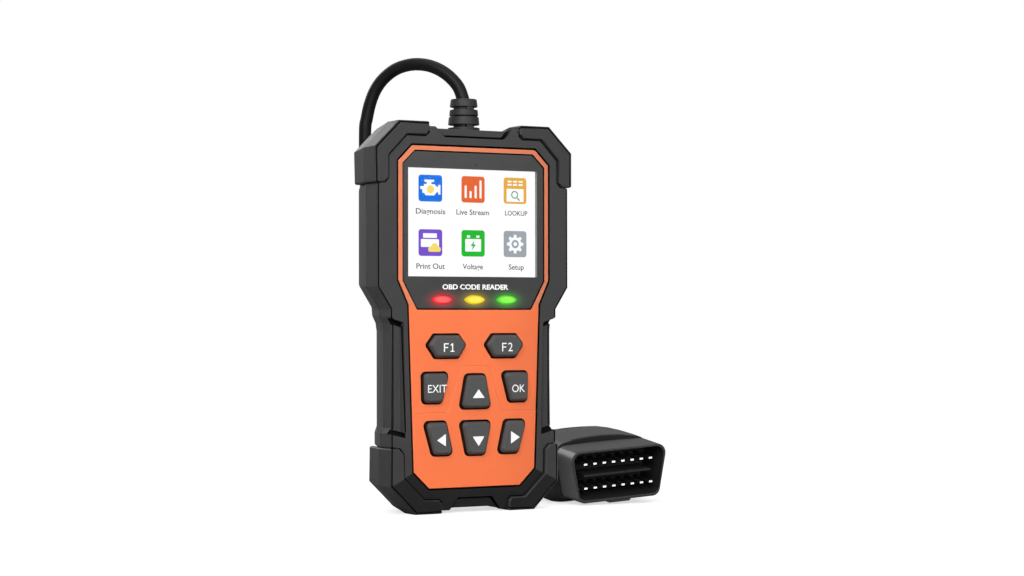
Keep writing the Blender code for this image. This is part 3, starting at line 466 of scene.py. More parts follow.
def place(ob, slot, *materials, body="handset", matrix=TO_ROW):
    """Turns millimetres into row-frame metres and hands the piece to its body."""
    ob.data.transform(matrix)
    index = [face.material_index for face in ob.data.polygons]
    ob.data.materials.clear()
    for material in materials:
        ob.data.materials.append(material)
    for face, k in zip(ob.data.polygons, index):
        face.material_index = min(k, len(materials) - 1)
    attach(ob, body)
    if ob.name.endswith("_fine"):
        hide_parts(ob.name.removesuffix("_fine"))


# ---- node building -----------------------------------------------------------------------
FRONT, ABOVE = (0.0, -1.0, 0.0), (0.0, 0.0, 1.0)
BLACK, WHITE = (0.0, 0.0, 0.0), (1.0, 1.0, 1.0, 1.0)


class Graph:
    """Short calls for a node tree; every input takes a value or another node's socket."""

    def __init__(self, tree):
        self.tree = tree

    def put(self, socket, value):
        if isinstance(value, bpy.types.NodeSocket):
            self.tree.links.new(value, socket)
        elif socket.type == "RGBA" and len(value) == 3:
            socket.default_value = (*value, 1.0)
        else:
            socket.default_value = value

    def node(self, kind, inputs=None, **settings):
        node = self.tree.nodes.new("ShaderNode" + kind)
        for key, value in settings.items():
            setattr(node, key, value)
        for key, value in (inputs or {}).items():
            self.put(node.inputs[key], value)
        return node

    def math(self, operation, first, second=0.0, third=None):
        inputs = {0: first, 1: second}
        if third is not None:
            inputs[2] = third
        return self.node("Math", inputs, operation=operation).outputs[0]

    def times(self, first, second):
        return self.math("MULTIPLY", first, second)

    def vector(self, operation, *inputs, output="Vector"):
        node = self.node("VectorMath", dict(enumerate(inputs)), operation=operation)
        return node.outputs[output]

    def scaled(self, vector, factor):
        return self.node("VectorMath", {0: vector, "Scale": factor},
                         operation="SCALE").outputs[0]

    def ramp(self, value, low=0.3, high=0.7, to_low=0.0, to_high=1.0):
        return self.node("MapRange", {"Value": value, "From Min": low, "From Max": high,
                                      "To Min": to_low, "To Max": to_high}).outputs["Result"]

    def mix(self, share, first, second, blend="MIX"):
        return self.node("Mix", {0: share, 6: first, 7: second}, data_type="RGBA",
                         blend_type=blend).outputs[2]

    def mix_shader(self, share, first, second):
        return self.node("MixShader", {0: share, 1: first, 2: second}).outputs[0]


class Paint(Graph):
    """A node material around one Principled shader."""

    def __init__(self, name, colour, roughness, metallic=0.0, ior=1.46):
        self.material = bpy.data.materials.new(name)
        self.material.use_nodes = True
        super().__init__(self.material.node_tree)
        self.principled = self.tree.nodes["Principled BSDF"]
        self.set("Base Color", colour)
        self.set("Roughness", roughness)
        self.set("Metallic", metallic)
        self.set("IOR", ior)
        self.material.diffuse_color = (*colour, 1.0)
        self.coord = self.node("TexCoord").outputs["Object"]

    def set(self, name, value):
        self.put(self.principled.inputs[name], value)

    def surface(self, shader):
        self.put(self.tree.nodes["Material Output"].inputs["Surface"], shader)

    def base(self):
        return self.principled.inputs["Base Color"].links[0].from_socket

    def tint(self, share, colour):
        """Mixes a colour over the base colour."""
        self.set("Base Color", self.mix(share, self.base(), colour))

    def glow(self, colour, strength=1.0):
        self.set("Emission Color", colour)
        self.set("Emission Strength", strength)

    def noise(self, size, detail=2.0, roughness=0.55, stretch=None):
        """Noise with features of the given size in millimetres."""
        vector = self.vector("MULTIPLY", self.coord, stretch) if stretch else self.coord
        return self.node("TexNoise", {"Vector": vector, "Scale": 1000.0 / size,
                                      "Detail": detail, "Roughness": roughness}).outputs["Fac"]

    def bump(self, height, depth, strength=1.0):
        """Bump with a depth in millimetres, fed to the shader's normal."""
        node = self.node("Bump", {"Height": height, "Distance": depth / 1000.0,
                                  "Strength": strength})
        self.set("Normal", node.outputs["Normal"])
        return node.outputs["Normal"]

    def geometry(self, output="Normal"):
        return self.node("NewGeometry").outputs[output]

    def dot(self, first, second):
        return self.vector("DOT_PRODUCT", first, second, output="Value")

    def facing(self, direction=FRONT):
        return self.dot(self.geometry(), direction)

    def edges(self, radius):
        """1 along convex and concave edges, 0 on flats."""
        bevel = self.node("Bevel", {"Radius": radius / 1000.0}, samples=4).outputs[0]
        return self.ramp(self.dot(bevel, self.geometry()), low=0.995, high=0.86)

    def place_mm(self, axes="XZ"):
        """Object coordinates in millimetres, z from MID_Z."""
        parts = self.node("SeparateXYZ", {0: self.coord})
        return [self.times(parts.outputs[axis], 1000.0) for axis in axes]

    def oval_distance(self, x, z, cx, cz, half_w, half_h):
        """Squared distance from a centre, 1 on the oval with these half sizes."""
        dx = self.math("DIVIDE", self.math("SUBTRACT", x, cx), half_w)
        dz = self.math("DIVIDE", self.math("SUBTRACT", z, cz), half_h)
        return self.math("ADD", self.times(dx, dx), self.times(dz, dz))


def shade(colour, factor):
    return tuple(min(1.0, v * factor) for v in colour)


# ---- materials ---------------------------------------------------------------------------
def lean_and_shade_foot(p, normal, specular):
    """Leaning normal and painted shade make the lower corners' front read as a facet facing
    down.
    """
    x, z = p.place_mm()
    beyond = p.math("MAXIMUM", p.math("SUBTRACT", p.math("ABSOLUTE", x), 25.2), 0.0)
    # the facet's upper edge drops half a millimetre for each one outwards
    line = p.math("SUBTRACT", 15.2 - MID_Z, p.times(beyond, 0.5))
    below = p.ramp(p.math("SUBTRACT", line, z), low=-0.1, high=0.35)
    face = p.geometry("True Normal")
    below = p.times(below, p.ramp(p.dot(face, FRONT), low=0.80, high=0.97))
    leaned = p.vector("ADD", normal, p.scaled((0.0, 0.0, -0.50), below))
    p.set("Normal", p.vector("NORMALIZE", leaned))
    # painted shade on the leaning facet
    p.tint(p.times(below, 0.55), BLACK)
    # the steps under the finger channels lie in the shade of the side above them
    step = p.times(p.ramp(z, low=28.4 - MID_Z, high=28.9 - MID_Z),
                   p.ramp(z, low=32.0 - MID_Z, high=31.6 - MID_Z))
    step = p.times(step, p.ramp(p.dot(face, ABOVE), low=0.25, high=0.5))
    p.tint(p.times(step, 0.8), BLACK)
    p.set("Specular IOR Level", p.ramp(step, low=0.0, high=1.0, to_low=specular, to_high=0.1))


def moulded(name, colour, roughness, grain=0.30, depth=0.020, mottle=0.10, wear=0.35,
            gloss=0.06, foot=False, specular=0.5):
    """Moulded plastic or elastomer: spark-eroded grain (size and depth in millimetres),
    faint flow mottling, rubbed edges; gloss is the spread of the roughness."""
    p = Paint(name, colour, roughness)
    p.set("Specular IOR Level", specular)
    fine = p.noise(size=grain, roughness=0.6)
    coarse = p.noise(size=grain * 3.4, roughness=0.5)
    flow = p.noise(size=14.0, detail=3.0)
    smear = p.noise(size=5.0, detail=4.0, roughness=0.6, stretch=(1.0, 1.0, 0.35))
    p.set("Base Color", p.mix(p.ramp(flow), shade(colour, 1 - mottle),
                              shade(colour, 1 + mottle)))
    p.tint(p.times(p.ramp(fine, low=0.35, high=0.72), 0.30), shade(colour, 1.35))
    rubbed = p.times(p.edges(radius=0.45),
                     p.ramp(p.noise(size=1.6, detail=3.0), low=0.30, high=0.62))
    p.tint(p.times(rubbed, wear), shade(colour, 1.9))
    spread = p.math("MULTIPLY_ADD", p.ramp(smear), gloss, roughness - gloss / 2)
    p.set("Roughness", p.math("SUBTRACT", spread, p.times(rubbed, 0.10)))
    normal = p.bump(p.math("ADD", fine, p.times(coarse, 0.7)), depth=depth)
    # foot: a leaning normal and painted shade on the lower corners
    if foot:
        lean_and_shade_foot(p, normal, specular)
    return p


def plate_material():
    """Orange plate: paler frame round the window, painted edge highlight instead of grey wear,
    painted shade to the right.
    """
    p = moulded("plate_orange", (0.835, 0.160, 0.046), 0.50, grain=0.26, depth=0.012,
                mottle=0.03, wear=0.0, gloss=0.05)
    x, z = p.place_mm()
    p.tint(p.times(p.ramp(z, low=74.4 - MID_Z, high=76.4 - MID_Z), 0.85), (0.64, 0.19, 0.090))
    # painted highlight along every edge of the plate
    p.tint(p.times(p.edges(radius=0.40), 0.45), (0.80, 0.28, 0.13))
    # painted shade: the plate darkens towards the right
    p.tint(p.times(p.ramp(x, low=8.0, high=30.0), 0.16), BLACK)
    # walls of the openings and the outer flank sit in the gap's shade
    p.set("Base Color", p.mix(p.ramp(p.facing(), low=0.12, high=0.42),
                              (0.030, 0.007, 0.004), p.base()))
    return p.material


def key_material():
    """Keys: one grey plastic; the flanks take painted shade with a painted reddish reflection of
    the plate.
    """
    p = moulded("key_plastic", (0.056, 0.057, 0.057), 0.60, grain=0.28, depth=0.014,
                mottle=0.05, wear=0.0)
    # painted shade and painted reflection of the orange plate on the flanks
    p.set("Base Color", p.mix(p.ramp(p.facing(), low=0.22, high=0.42),
                              (0.012, 0.008, 0.007), p.base()))
    return p.material


WINDOW = (-27.2, 86.0, 26.45, 125.36)       # clear part of the lens: x0, z0, x1, z1


def lens_material():
    """Dark printed window: clear over the display, glow bleeding round the three lights."""
    colour = (0.034, 0.0342, 0.0342)
    p = Paint("window_print", colour, 0.30, ior=1.45)
    x, z = p.place_mm()
    z = p.math("ADD", z, MID_Z)
    p.set("Base Color", p.mix(p.ramp(p.noise(size=9.0, detail=3.0)), shade(colour, 0.95),
                              shade(colour, 1.06)))
    specks = p.ramp(p.noise(size=0.4, detail=3.0), low=0.45, high=0.75)
    p.tint(p.times(specks, 0.2), shade(colour, 1.15))
    p.set("Roughness", p.ramp(p.noise(size=6.0, detail=4.0), to_low=0.27, to_high=0.34))
    p.bump(p.noise(size=1.4), depth=0.003, strength=0.6)
    glow = None
    glow_colours = ((0.56, 0.006, 0.010), (0.42, 0.31, 0.002), (0.045, 0.46, 0.006))
    for cx, glow_colour in zip(LIGHT_XS, glow_colours):
        away = p.oval_distance(x, z, cx, LIGHT_Z - 0.15, half_w=6.2, half_h=3.3)
        halo = p.scaled(glow_colour, p.math("POWER", 2.718, p.times(away, -2.1)))
        glow = halo if glow is None else p.vector("ADD", glow, halo)
    p.glow(glow)
    inside = None
    for operation, value, edge in (("GREATER_THAN", x, WINDOW[0]), ("LESS_THAN", x, WINDOW[2]),
                                   ("GREATER_THAN", z, WINDOW[1]), ("LESS_THAN", z, WINDOW[3])):
        test = p.math(operation, value, edge)
        inside = test if inside is None else p.times(inside, test)
    clear = p.node("BsdfTransparent").outputs[0]
    gloss = p.node("BsdfGlossy", {"Color": WHITE, "Roughness": 0.12}).outputs[0]
    fresnel = p.node("Fresnel", {"IOR": 1.18}).outputs[0]
    front_only = p.math("SUBTRACT", 1.0, p.geometry("Backfacing"))
    pane = p.mix_shader(p.times(fresnel, front_only), clear, gloss)
    p.surface(p.mix_shader(inside, p.principled.outputs[0], pane))
    return p.material


def lit(name, colour, uneven=0.06, raster=True):
    """Lit display ink: even backlight with a faint raster of dots."""
    p = Paint(name, colour, 0.35)
    base = p.mix(p.ramp(p.noise(size=7.0)), shade(colour, 1 - uneven), colour)
    if raster:
        dot_pitch = 0.165
        waves = [p.math("ABSOLUTE", p.math("SINE", p.times(v, math.pi / dot_pitch)))
                 for v in p.place_mm()]
        grid = p.ramp(p.math("MINIMUM", *waves), low=0.0, high=0.35, to_low=0.93)
        dots = p.node("CombineColor", {"Red": grid, "Green": grid, "Blue": grid}).outputs[0]
        base = p.mix(1.0, base, dots, blend="MULTIPLY")
    p.set("Base Color", p.mix(0.96, base, BLACK))
    p.set("Specular IOR Level", 0.0)
    p.glow(base)
    p.bump(p.noise(size=0.3), depth=0.002, strength=0.4)
    return p.material


def light_material(name, core, rim, cx):
    """Lit light pipe: hot core, deeper colour towards the points of the oval."""
    p = Paint(name, core, 0.30)
    facing = p.facing()
    x, z = p.place_mm()
    away = p.oval_distance(x, z, cx, LIGHT_Z - MID_Z, half_w=4.1, half_h=1.45)
    hot = p.times(p.ramp(facing, low=0.30, high=0.80), p.ramp(away, low=0.95, high=0.28))
    hot = p.times(hot, p.ramp(p.noise(size=1.3), low=0.25, high=0.75, to_low=0.90))
    colour = p.mix(hot, rim, core)
    p.set("Base Color", p.mix(0.95, colour, BLACK))
    p.set("Specular IOR Level", 0.15)
    p.glow(colour)
    p.bump(p.noise(size=0.5), depth=0.004, strength=0.5)
    return p.material


def metal(name, colour, roughness, scratch, depth=0.004):
    """Bare metal; scratch stretches the fine lines along each axis."""
    p = Paint(name, colour, roughness, metallic=1.0)
    lines = p.noise(size=0.5, detail=4.0, roughness=0.65, stretch=scratch)
    p.set("Base Color", p.mix(p.ramp(p.noise(size=3.0, detail=3.0)), shade(colour, 0.86),
                              shade(colour, 1.06)))
    p.set("Roughness", p.ramp(lines, to_low=roughness * 0.75, to_high=roughness * 1.35))
    p.bump(lines, depth=depth, strength=0.6)
    return p.material


PLUG_FRONT = (-0.0607, -0.9927, -0.1045)    # the way the plug's mouth looks


def pin_material():
    """Tin plating: painted shade on the blades, a painted glint where the blade's end looks out
    of the mouth.
    """
    colour = (0.80, 0.80, 0.79)
    p = Paint("pin_plating", colour, 0.30, metallic=0.9)
    drawn = p.noise(size=0.5, detail=4.0, roughness=0.65, stretch=(1.0, 0.15, 1.0))
    p.set("Base Color", p.mix(p.ramp(drawn), shade(colour, 0.82), shade(colour, 1.1)))
    p.set("Roughness", p.ramp(drawn, to_low=0.24, to_high=0.40))
    p.bump(drawn, depth=0.004, strength=0.6)
    facing = p.facing(PLUG_FRONT)
    # painted glint: emission on the blade ends that look out of the mouth
    glint = p.times(p.ramp(facing, low=0.80, high=0.97),
                    p.ramp(drawn, low=0.2, high=0.5, to_low=0.75, to_high=0.95))
    p.glow((1.0, 1.0, 0.99), glint)
    # painted shade on the blades where they face away from the mouth
    p.tint(p.ramp(facing, low=0.3, high=0.9, to_low=0.90, to_high=0.0), (0.012, 0.012, 0.012))
    return p.material


def board_material():
    """Solder mask with a raster of tracks and via pads."""
    colour = (0.016, 0.135, 0.055)
    p = Paint("board_mask", colour, 0.34)
    x, z = p.place_mm()
    flat = p.node("CombineXYZ", {"X": x, "Y": z}).outputs[0]
    tracks = p.node("TexBrick", {"Vector": flat, "Scale": 0.35,
                                 "Mortar Size": 0.035}).outputs["Fac"]
    cells = p.node("TexVoronoi", {"Vector": flat, "Scale": 0.42}).outputs["Distance"]
    pads = p.ramp(cells, low=0.13, high=0.10)
    p.set("Base Color", p.mix(p.times(tracks, 0.8), colour, (0.05, 0.26, 0.10)))
    p.tint(pads, (0.60, 0.46, 0.20))
    p.set("Metallic", p.times(pads, 0.9))
    p.bump(p.math("ADD", tracks, pads), depth=0.03, strength=0.8)
    p.set("Roughness", p.ramp(p.noise(size=4.0), to_low=0.28, to_high=0.42))
    return p.material


def ribbon_material():
    """Amber film with copper lines running lengthways."""
    colour = (0.60, 0.27, 0.04)
    line_pitch = 0.8
    p = Paint("ribbon_film", colour, 0.38)
    x = p.place_mm("X")[0]
    lines = p.ramp(p.math("SINE", p.times(x, 2 * math.pi / line_pitch)), low=0.0, high=0.5)
    p.set("Base Color", p.mix(lines, colour, (0.30, 0.11, 0.02)))
    p.set("Roughness", p.ramp(p.noise(size=2.0), to_low=0.30, to_high=0.46))
    p.bump(lines, depth=0.02, strength=0.7)
    return p.material


# moulded and metal take name, colour, roughness
shell_plastic = moulded("shell_plastic", (0.0265, 0.0268, 0.0268), 0.50, foot=True).material
bumper_rubber = moulded("bumper_rubber", (0.0240, 0.0240, 0.0244), 0.58, grain=0.34,
                        depth=0.028, mottle=0.08, foot=True).material
lead_pvc = moulded("lead_pvc", (0.004, 0.004, 0.0044), 0.46, grain=0.5, depth=0.008,
                   mottle=0.12, wear=0.10, specular=0.22).material
boot_pvc = moulded("boot_pvc", (0.014, 0.014, 0.0144), 0.58, grain=0.32, wear=0.25).material
# pin block plastic, also painted inside the plug's mouth as shade
block_plastic_and_mouth_shade = moulded("block_plastic_and_mouth_shade", (0.006, 0.006, 0.0065), 0.60, wear=0.3).material
plug_plastic = moulded("plug_plastic", (0.031, 0.031, 0.0318), 0.58, grain=0.32,
                       specular=0.32).material
# painted shade for the steep wall behind the plug's collar
plug_step_shade = moulded("plug_step_shade", (0.010, 0.010, 0.0104), 0.66, grain=0.32, wear=0.0,
                    specular=0.15).material
# painted light: a paler copy of the plug plastic for the collar's lit left flank
plug_flank_lit = moulded("plug_flank_lit", (0.105, 0.105, 0.107), 0.50, grain=0.32).material
seam_shadow = moulded("seam_shadow", (0.0035, 0.0032, 0.0032), 0.75, wear=0.0,
                      specular=0.1).material
plate_orange = plate_material()
key_plastic = key_material()
window_print = lens_material()
legend_ink = moulded("legend_ink", (0.88, 0.88, 0.87), 0.55, grain=0.20, depth=0.006,
                     mottle=0.03, wear=0.0).material
pin_plating = pin_material()
tray_steel = metal("tray_steel", (0.56, 0.57, 0.58), 0.34, scratch=(0.08, 1.0, 1.0))
screw_zinc = metal("screw_zinc", (0.55, 0.55, 0.57), 0.36, scratch=(1.0, 1.0, 1.0),
                   depth=0.008)
keypad_silicone = moulded("keypad_silicone", (0.17, 0.17, 0.18), 0.75, mottle=0.06,
                          wear=0.1).material
component_epoxy = moulded("component_epoxy", (0.022, 0.022, 0.023), 0.5, grain=0.14,
                          wear=0.2).material
header_nylon = moulded("header_nylon", (0.72, 0.71, 0.67), 0.5, wear=0.1).material
board_mask = board_material()
ribbon_film = ribbon_material()
window_wall = moulded("window_wall", (0.18, 0.18, 0.18), 0.5, grain=0.2, depth=0.004,
                      wear=0.0).material
display_bezel = moulded("display_bezel", (0.060, 0.061, 0.061), 0.5, grain=0.2, depth=0.004,
                        wear=0.0).material
LIGHTS = {name: light_material("light_" + name, core, rim, cx) for cx, name, core, rim in (
    (-LIGHT_X, "red", (1.0, 0.150, 0.150), (0.80, 0.012, 0.020)),
    (0.0, "yellow", (1.0, 0.90, 0.095), (0.80, 0.52, 0.010)),
    (LIGHT_X, "green", (0.32, 1.0, 0.115), (0.05, 0.62, 0.015)))}


# ---- handset shells ----------------------------------------------------------------------
# (name, outline, corner radius)
KEYS = [("f1", flip(HEX), 1.2), ("f2", HEX, 1.2), ("exit", flip(SIDE_TOP), 1.8),
        ("ok", SIDE_TOP, 1.8), ("up", UP, 1.9), ("down", DOWN, 1.9),
        ("left", flip(SIDE_LOW), 1.9), ("right", SIDE_LOW, 1.9)]
ENTRY_BORE = turned([(3.75, 136.0), (3.75, 143.0)], (0.0, PART_Y, 0.0), "z", 48)
SPLITS = [((x, 0.0, 0.0), (1.0, 0.0, 0.0)) for x in (-19.7, 0.07, 19.9)] \
    + [((0.0, 0.0, z), (0.0, 0.0, 1.0)) for z in (25.9, 76.7, 100.3)]


def key_outline(points, radius, grow=0.0):
    return soft(offset(points, grow), max(radius + grow * 0.55, 0.6), 6)


def posts(places, radius, y0, y1, count=32):
    return [prism(circle(x, z, radius, count), y0, y1) for x, z in places]


def carve_recesses(ob):
    """Trapezoid recesses in the middle of the top and bottom edge, and the step along
    the foot of each, whose walls take painted shade."""
    carve(ob,
          [ring([(-17.4, 142.0), (17.4, 142.0), (12.2, 136.7), (-12.2, 136.7)], -0.5),
           ring([(-16.9, 142.0), (16.9, 142.0), (11.4, 137.3), (-11.4, 137.3)], 2.0)],
          [ring([(-7.2, 5.7), (7.2, 5.7), (11.2, -1.0), (-11.2, -1.0)], -0.5),
           ring([(-6.6, 5.2), (6.6, 5.2), (10.4, -1.0), (-10.4, -1.0)], 1.6)])
    top = [(-17.3, 142.4), (-12.05, 137.1), (12.05, 137.1), (17.3, 142.4)]
    low = [(-10.6, 0.2), (-7.0, 5.25), (7.0, 5.25), (10.6, 0.2)]
    carve(ob, strip(rounded_line(top, 1.2), 0.42, 3.0),
          strip(rounded_line(low, 0.9), 0.34, 2.7), dark=True)


def carve_relief(ob):
    """Narrow relief line just inside each side of the front edge, its walls in painted shade."""
    edge = [(x, z) for x, z, _ in RELIEF]
    line = offset(edge + [(0.0, 24.4), (0.0, 119.2)], -0.58)[:len(edge)]
    line[0] = (line[0][0], 121.0)
    line[-1] = (line[-1][0], 22.6)
    for side in (1, -1):
        carve(ob, strip(sided(line, side), 0.22, [depth for _, _, depth in RELIEF]), dark=True)


def carve_channels(ob):
    """Finger channels: skewed ends, a slot at each end, a fine line along the inside; slots and
    line in painted shade.
    """
    rim = [(28.6, 69.6), (38.0, 72.4), (38.0, 30.0), (27.6, 27.2)]
    bed = [(29.9, 67.6), (38.0, 70.4), (38.0, 31.6), (29.6, 29.4)]
    slots = ([(29.6, 69.5), (34.4, 70.96), (34.4, 69.07), (29.5, 67.6)],
             [(28.4, 29.6), (34.4, 31.15), (34.4, 29.26), (28.3, 27.7)])
    inside = [(29.35, 68.0), (28.25, 30.0)]
    sides = (1, -1)
    carve(ob, *[[ring(sided(rim, s), -0.5), ring(sided(bed, s), 2.2)] for s in sides])
    carve(ob, *[prism(sided(slot, s), CUT_FRONT, 3.1) for s in sides for slot in slots],
          dark=True)
    carve(ob, *[strip(sided(inside, s), 0.15, 2.6) for s in sides], dark=True)


def front_shell():
    ob = build("front_shell_fine", edged(mirrored(SHELL), SHELL_EDGE, 0.5, 3))
    carve(ob, prism(mirrored(CAVITY), WALL_Y, PART_Y + 4.0))
    # the walls of the plate and bumper pockets take painted shade
    carve(ob, prism(soft(offset(mirrored(PLATE), GAP + 0.16), 0.5, 4), CUT_FRONT,
                    PLATE_POCKET_Y), dark=True)
    pockets = (POCKET_TOP, flip(POCKET_TOP), POCKET_LOW, flip(POCKET_LOW))
    carve(ob, *[prism(soft(pocket, 0.6, 4), CUT_FRONT, BUMPER_POCKET_Y)
                for pocket in pockets], dark=True)
    carve_recesses(ob)
    carve_relief(ob)
    carve_channels(ob)
    # openings for the display, the keys and the lights
    openings = [rect(-LCD_HALF, LCD_Z0, LCD_HALF, LCD_Z1, grow=1.0)]
    openings += [key_outline(points, radius) for _, points, radius in KEYS]
    openings += [light_oval(x, 4.5, 1.9, 12) for x in LIGHT_XS]
    carve(ob, *[prism(opening, 0.5, 6.0) for opening in openings])
    carve(ob, *posts(CASE_SCREWS, 2.4, 3.0, PART_Y - 0.2),
          *posts(BOARD_SCREWS, 2.3, 3.0, 7.7), operation="UNION")
    carve(ob, *posts(CASE_SCREWS, 1.35, 4.6, PART_Y + 2.0, 20),
          *posts(BOARD_SCREWS, 1.15, 4.6, PART_Y + 2.0, 20))
    carve(ob, ENTRY_BORE)
    soften(ob, 0.13, splits=SPLITS)
    place(ob, "shell_black", shell_plastic, seam_shadow)


def taper_at(y):
    if y <= TAPER[0][0]:
        return 0.0
    for (y0, share0), (y1, share1) in zip(TAPER, TAPER[1:]):
        if y <= y1:
            return share0 + (share1 - share0) * (y - y0) / (y1 - y0)
    return 1.0


def rear_shell():
    front, back = mirrored(SHELL), mirrored(SHELL_BACK)
    rows = [ring(soft(blended(front, back, share), 0.5 + 1.1 * share, 3), y)
            for y, share in TAPER[:-1]]
    rows += [ring(soft(blended(front, back, 0.93), 1.5, 3), 25.3),
             ring(soft(back, 1.6, 3), 25.75),
             ring(soft(offset(back, -0.55), 1.4, 3), BACK_Y)]
    ob = build("rear_shell_fine", rows)
    carve(ob, [ring(blended(mirrored(CAVITY), mirrored(CAVITY_BACK), taper_at(y)), y)
               for y in (5.0, 8.8, 13.5, 19.0, 23.6)])
    carve(ob, *posts(CASE_SCREWS, 2.7, 10.0, 24.6), operation="UNION")
    # screw holes, a shallow panel in the upper back and grip grooves across the lower back
    screw_hole = [(1.35, 4.0), (1.35, 23.0), (2.25, 23.0), (2.25, 28.0)]
    cutters = [turned(screw_hole, (x, 0.0, z), count=28) for x, z in CASE_SCREWS]
    cutters.append(prism(soft(rect(-22.0, 86.0, 22.0, 120.0), 3.0, 8), BACK_Y - 0.5,
                         BACK_Y + 2.0))
    for k in range(7):
        z = 30.0 + 5.0 * k
        cutters.append(prism(soft(rect(-17.0, z, 17.0, z + 1.4), 0.65), BACK_Y - 0.6,
                             BACK_Y + 2.0))
    carve(ob, *cutters)
    carve(ob, ENTRY_BORE)
    soften(ob, 0.22)
    place(ob, "shell_black", shell_plastic)


def bumper_end(station, near):
    """A bumper's end face, then a short chamfer up to the full section."""
    way = (near[0] - station[0]).normalized()
    return [([edge + way * inset for edge in station], cut)
            for inset, cut in ((0.0, 0.75), (0.22, 0.28), (0.62, 0.0))]


def bumper(name, stations, side):
    """Corner bumper: an L section swept round the corner, a relief line inside its edge."""
    stations = [[Vector(edge) for edge in station] for station in stations]
    run = bumper_end(stations[0], stations[1])
    run += [(station, 0.0) for station in stations[1:-1]]
    run += reversed(bumper_end(stations[-1], stations[-2]))
    rings = []
    for (outer, inner, pad), cut in run:
        inward = (pad - outer).normalized()
        outer = outer + inward * cut * 0.75
        pad = pad - inward * (0.12 + cut * 0.35)
        front = -BUMPER_PROUD + cut * 0.8
        # (edge, distance inwards from it, y)
        section = [(pad, 0.0, 0.15), (pad, -0.08, front + 0.35), (pad, -0.30, front + 0.08),
                   (pad, -0.60, front), (outer, 1.22, front), (outer, 1.08, front + 0.06),
                   (outer, 0.98, front + 0.22), (outer, 0.92, front + 0.85),
                   (outer, 0.52, front + 0.85), (outer, 0.47, front + 0.30),
                   (outer, 0.40, front + 0.17), (outer, 0.30, front + 0.14),
                   (outer, 0.12, front + 0.30), (outer, 0.02, front + 0.62),
                   (outer, -0.04, front + 1.05), (outer, -0.04, PART_Y - 0.2),
                   (outer, 0.06, PART_Y + 0.4), (outer, 0.90, 13.5), (outer, 2.05, 20.3),
                   (outer, 2.35, 21.1), (outer, 2.85, BUMPER_BACK),
                   (inner, 2.1, BUMPER_BACK), (inner, 0.75, 13.5), (inner, 0.0, PART_Y),
                   (inner, 0.0, 1.6), (pad, 0.0, 1.6)]
        row = []
        for edge, distance, y in section:
            point = edge + inward * distance
            row.append((side * point.x, y, point.y))
        rings.append(row)
    ob = build(name + "_fine", rings)
    groove = (6, 7, 8, 9)       # section points of the relief line
    # the relief line's faces take painted shade
    for face in ob.data.polygons:
        if len(face.vertices) < 5 and all(v % len(rings[0]) in groove for v in face.vertices):
            face.material_index = 1
    soften(ob, 0.16, angle=38)
    place(ob, "bumper_black", bumper_rubber, seam_shadow)


def face_plate():
    # drawn in a little so that a seam shows round it
    profile = [(d - 0.14, y) for d, y in PLATE_EDGE]
    ob = build("face_plate_fine", edged(mirrored(PLATE), profile, 0.5, 4))
    openings = [soft(offset(mirrored(LENS), GAP), 0.6)]
    openings += [key_outline(points, radius, 0.13) for _, points, radius in KEYS]
    carve(ob, *[prism(opening, -2.0, 4.0) for opening in openings])
    # shallow decorative groove that steps up round the arrow keys
    line = rounded_line([(-25.25, 36.4), (-11.2, 36.5), (-5.6, 53.3), (5.4, 53.5),
                         (10.9, 36.7), (25.35, 36.7)], 1.6, 6)
    carve(ob, strip(line, 0.17, 0.20))
    soften(ob, 0.10)
    place(ob, "face_orange", plate_orange)


def lens_piece():
    profile = [(d - 0.12, y) for d, y in LENS_EDGE]
    ob = build("screen_lens_fine", edged(mirrored(LENS), profile, 0.55, 5))
    carve(ob, *[prism(light_oval(x, 4.4, 1.7), -2.0, 4.0) for x in LIGHT_XS])
    soften(ob)
    place(ob, "lens_dark", window_print)


def light_pipes():
    # (half width, half height, y)
    stations = [(3.5, 0.98, -0.22), (3.9, 1.26, -0.18), (4.15, 1.44, -0.08),
                (4.25, 1.52, 0.06), (4.25, 1.52, 4.1), (4.8, 2.1, 4.1), (4.8, 2.1, 5.0),
                (3.4, 1.05, 5.0), (3.4, 1.05, 6.3)]
    for x, (name, material) in zip(LIGHT_XS, LIGHTS.items()):
        ob = build("light_pipe_%s_fine" % name,
                   [ring(light_oval(x, half_w, half_h), y) for half_w, half_h, y in stations])
        soften(ob, smooth=50)
        place(ob, "light_" + name, material)


def keys():
    for name, points, radius in KEYS:
        ob = build("key_%s_fine" % name,
                   [ring(key_outline(points, radius, d), y) for d, y in KEY_EDGE])
        cx = sum(p[0] for p in points) / len(points)
        cz = sum(p[1] for p in points) / len(points)
        carve(ob, prism(circle(cx, cz, 1.9, 24), WALL_Y + 0.8, 6.4), operation="UNION")
        soften(ob, smooth=32)
        place(ob, "key_grey", key_plastic, body="key_%s_cap" % name)


# ---- lettering ---------------------------------------------------------------------------
def glyphs(words, bold):
    curve = bpy.data.curves.new("glyphs", "FONT")
    curve.body = words
    curve.align_x, curve.align_y = "CENTER", "BOTTOM_BASELINE"
    curve.size = 1.0
    curve.offset = bold
    curve.extrude = 0.5
    curve.resolution_u = 5
    ob = bpy.data.objects.new("glyphs", curve)
    bpy.context.scene.collection.objects.link(ob)
    graph = bpy.context.evaluated_depsgraph_get()
    mesh = bpy.data.meshes.new_from_object(ob.evaluated_get(graph))
    bpy.data.objects.remove(ob, do_unlink=True)
    return mesh


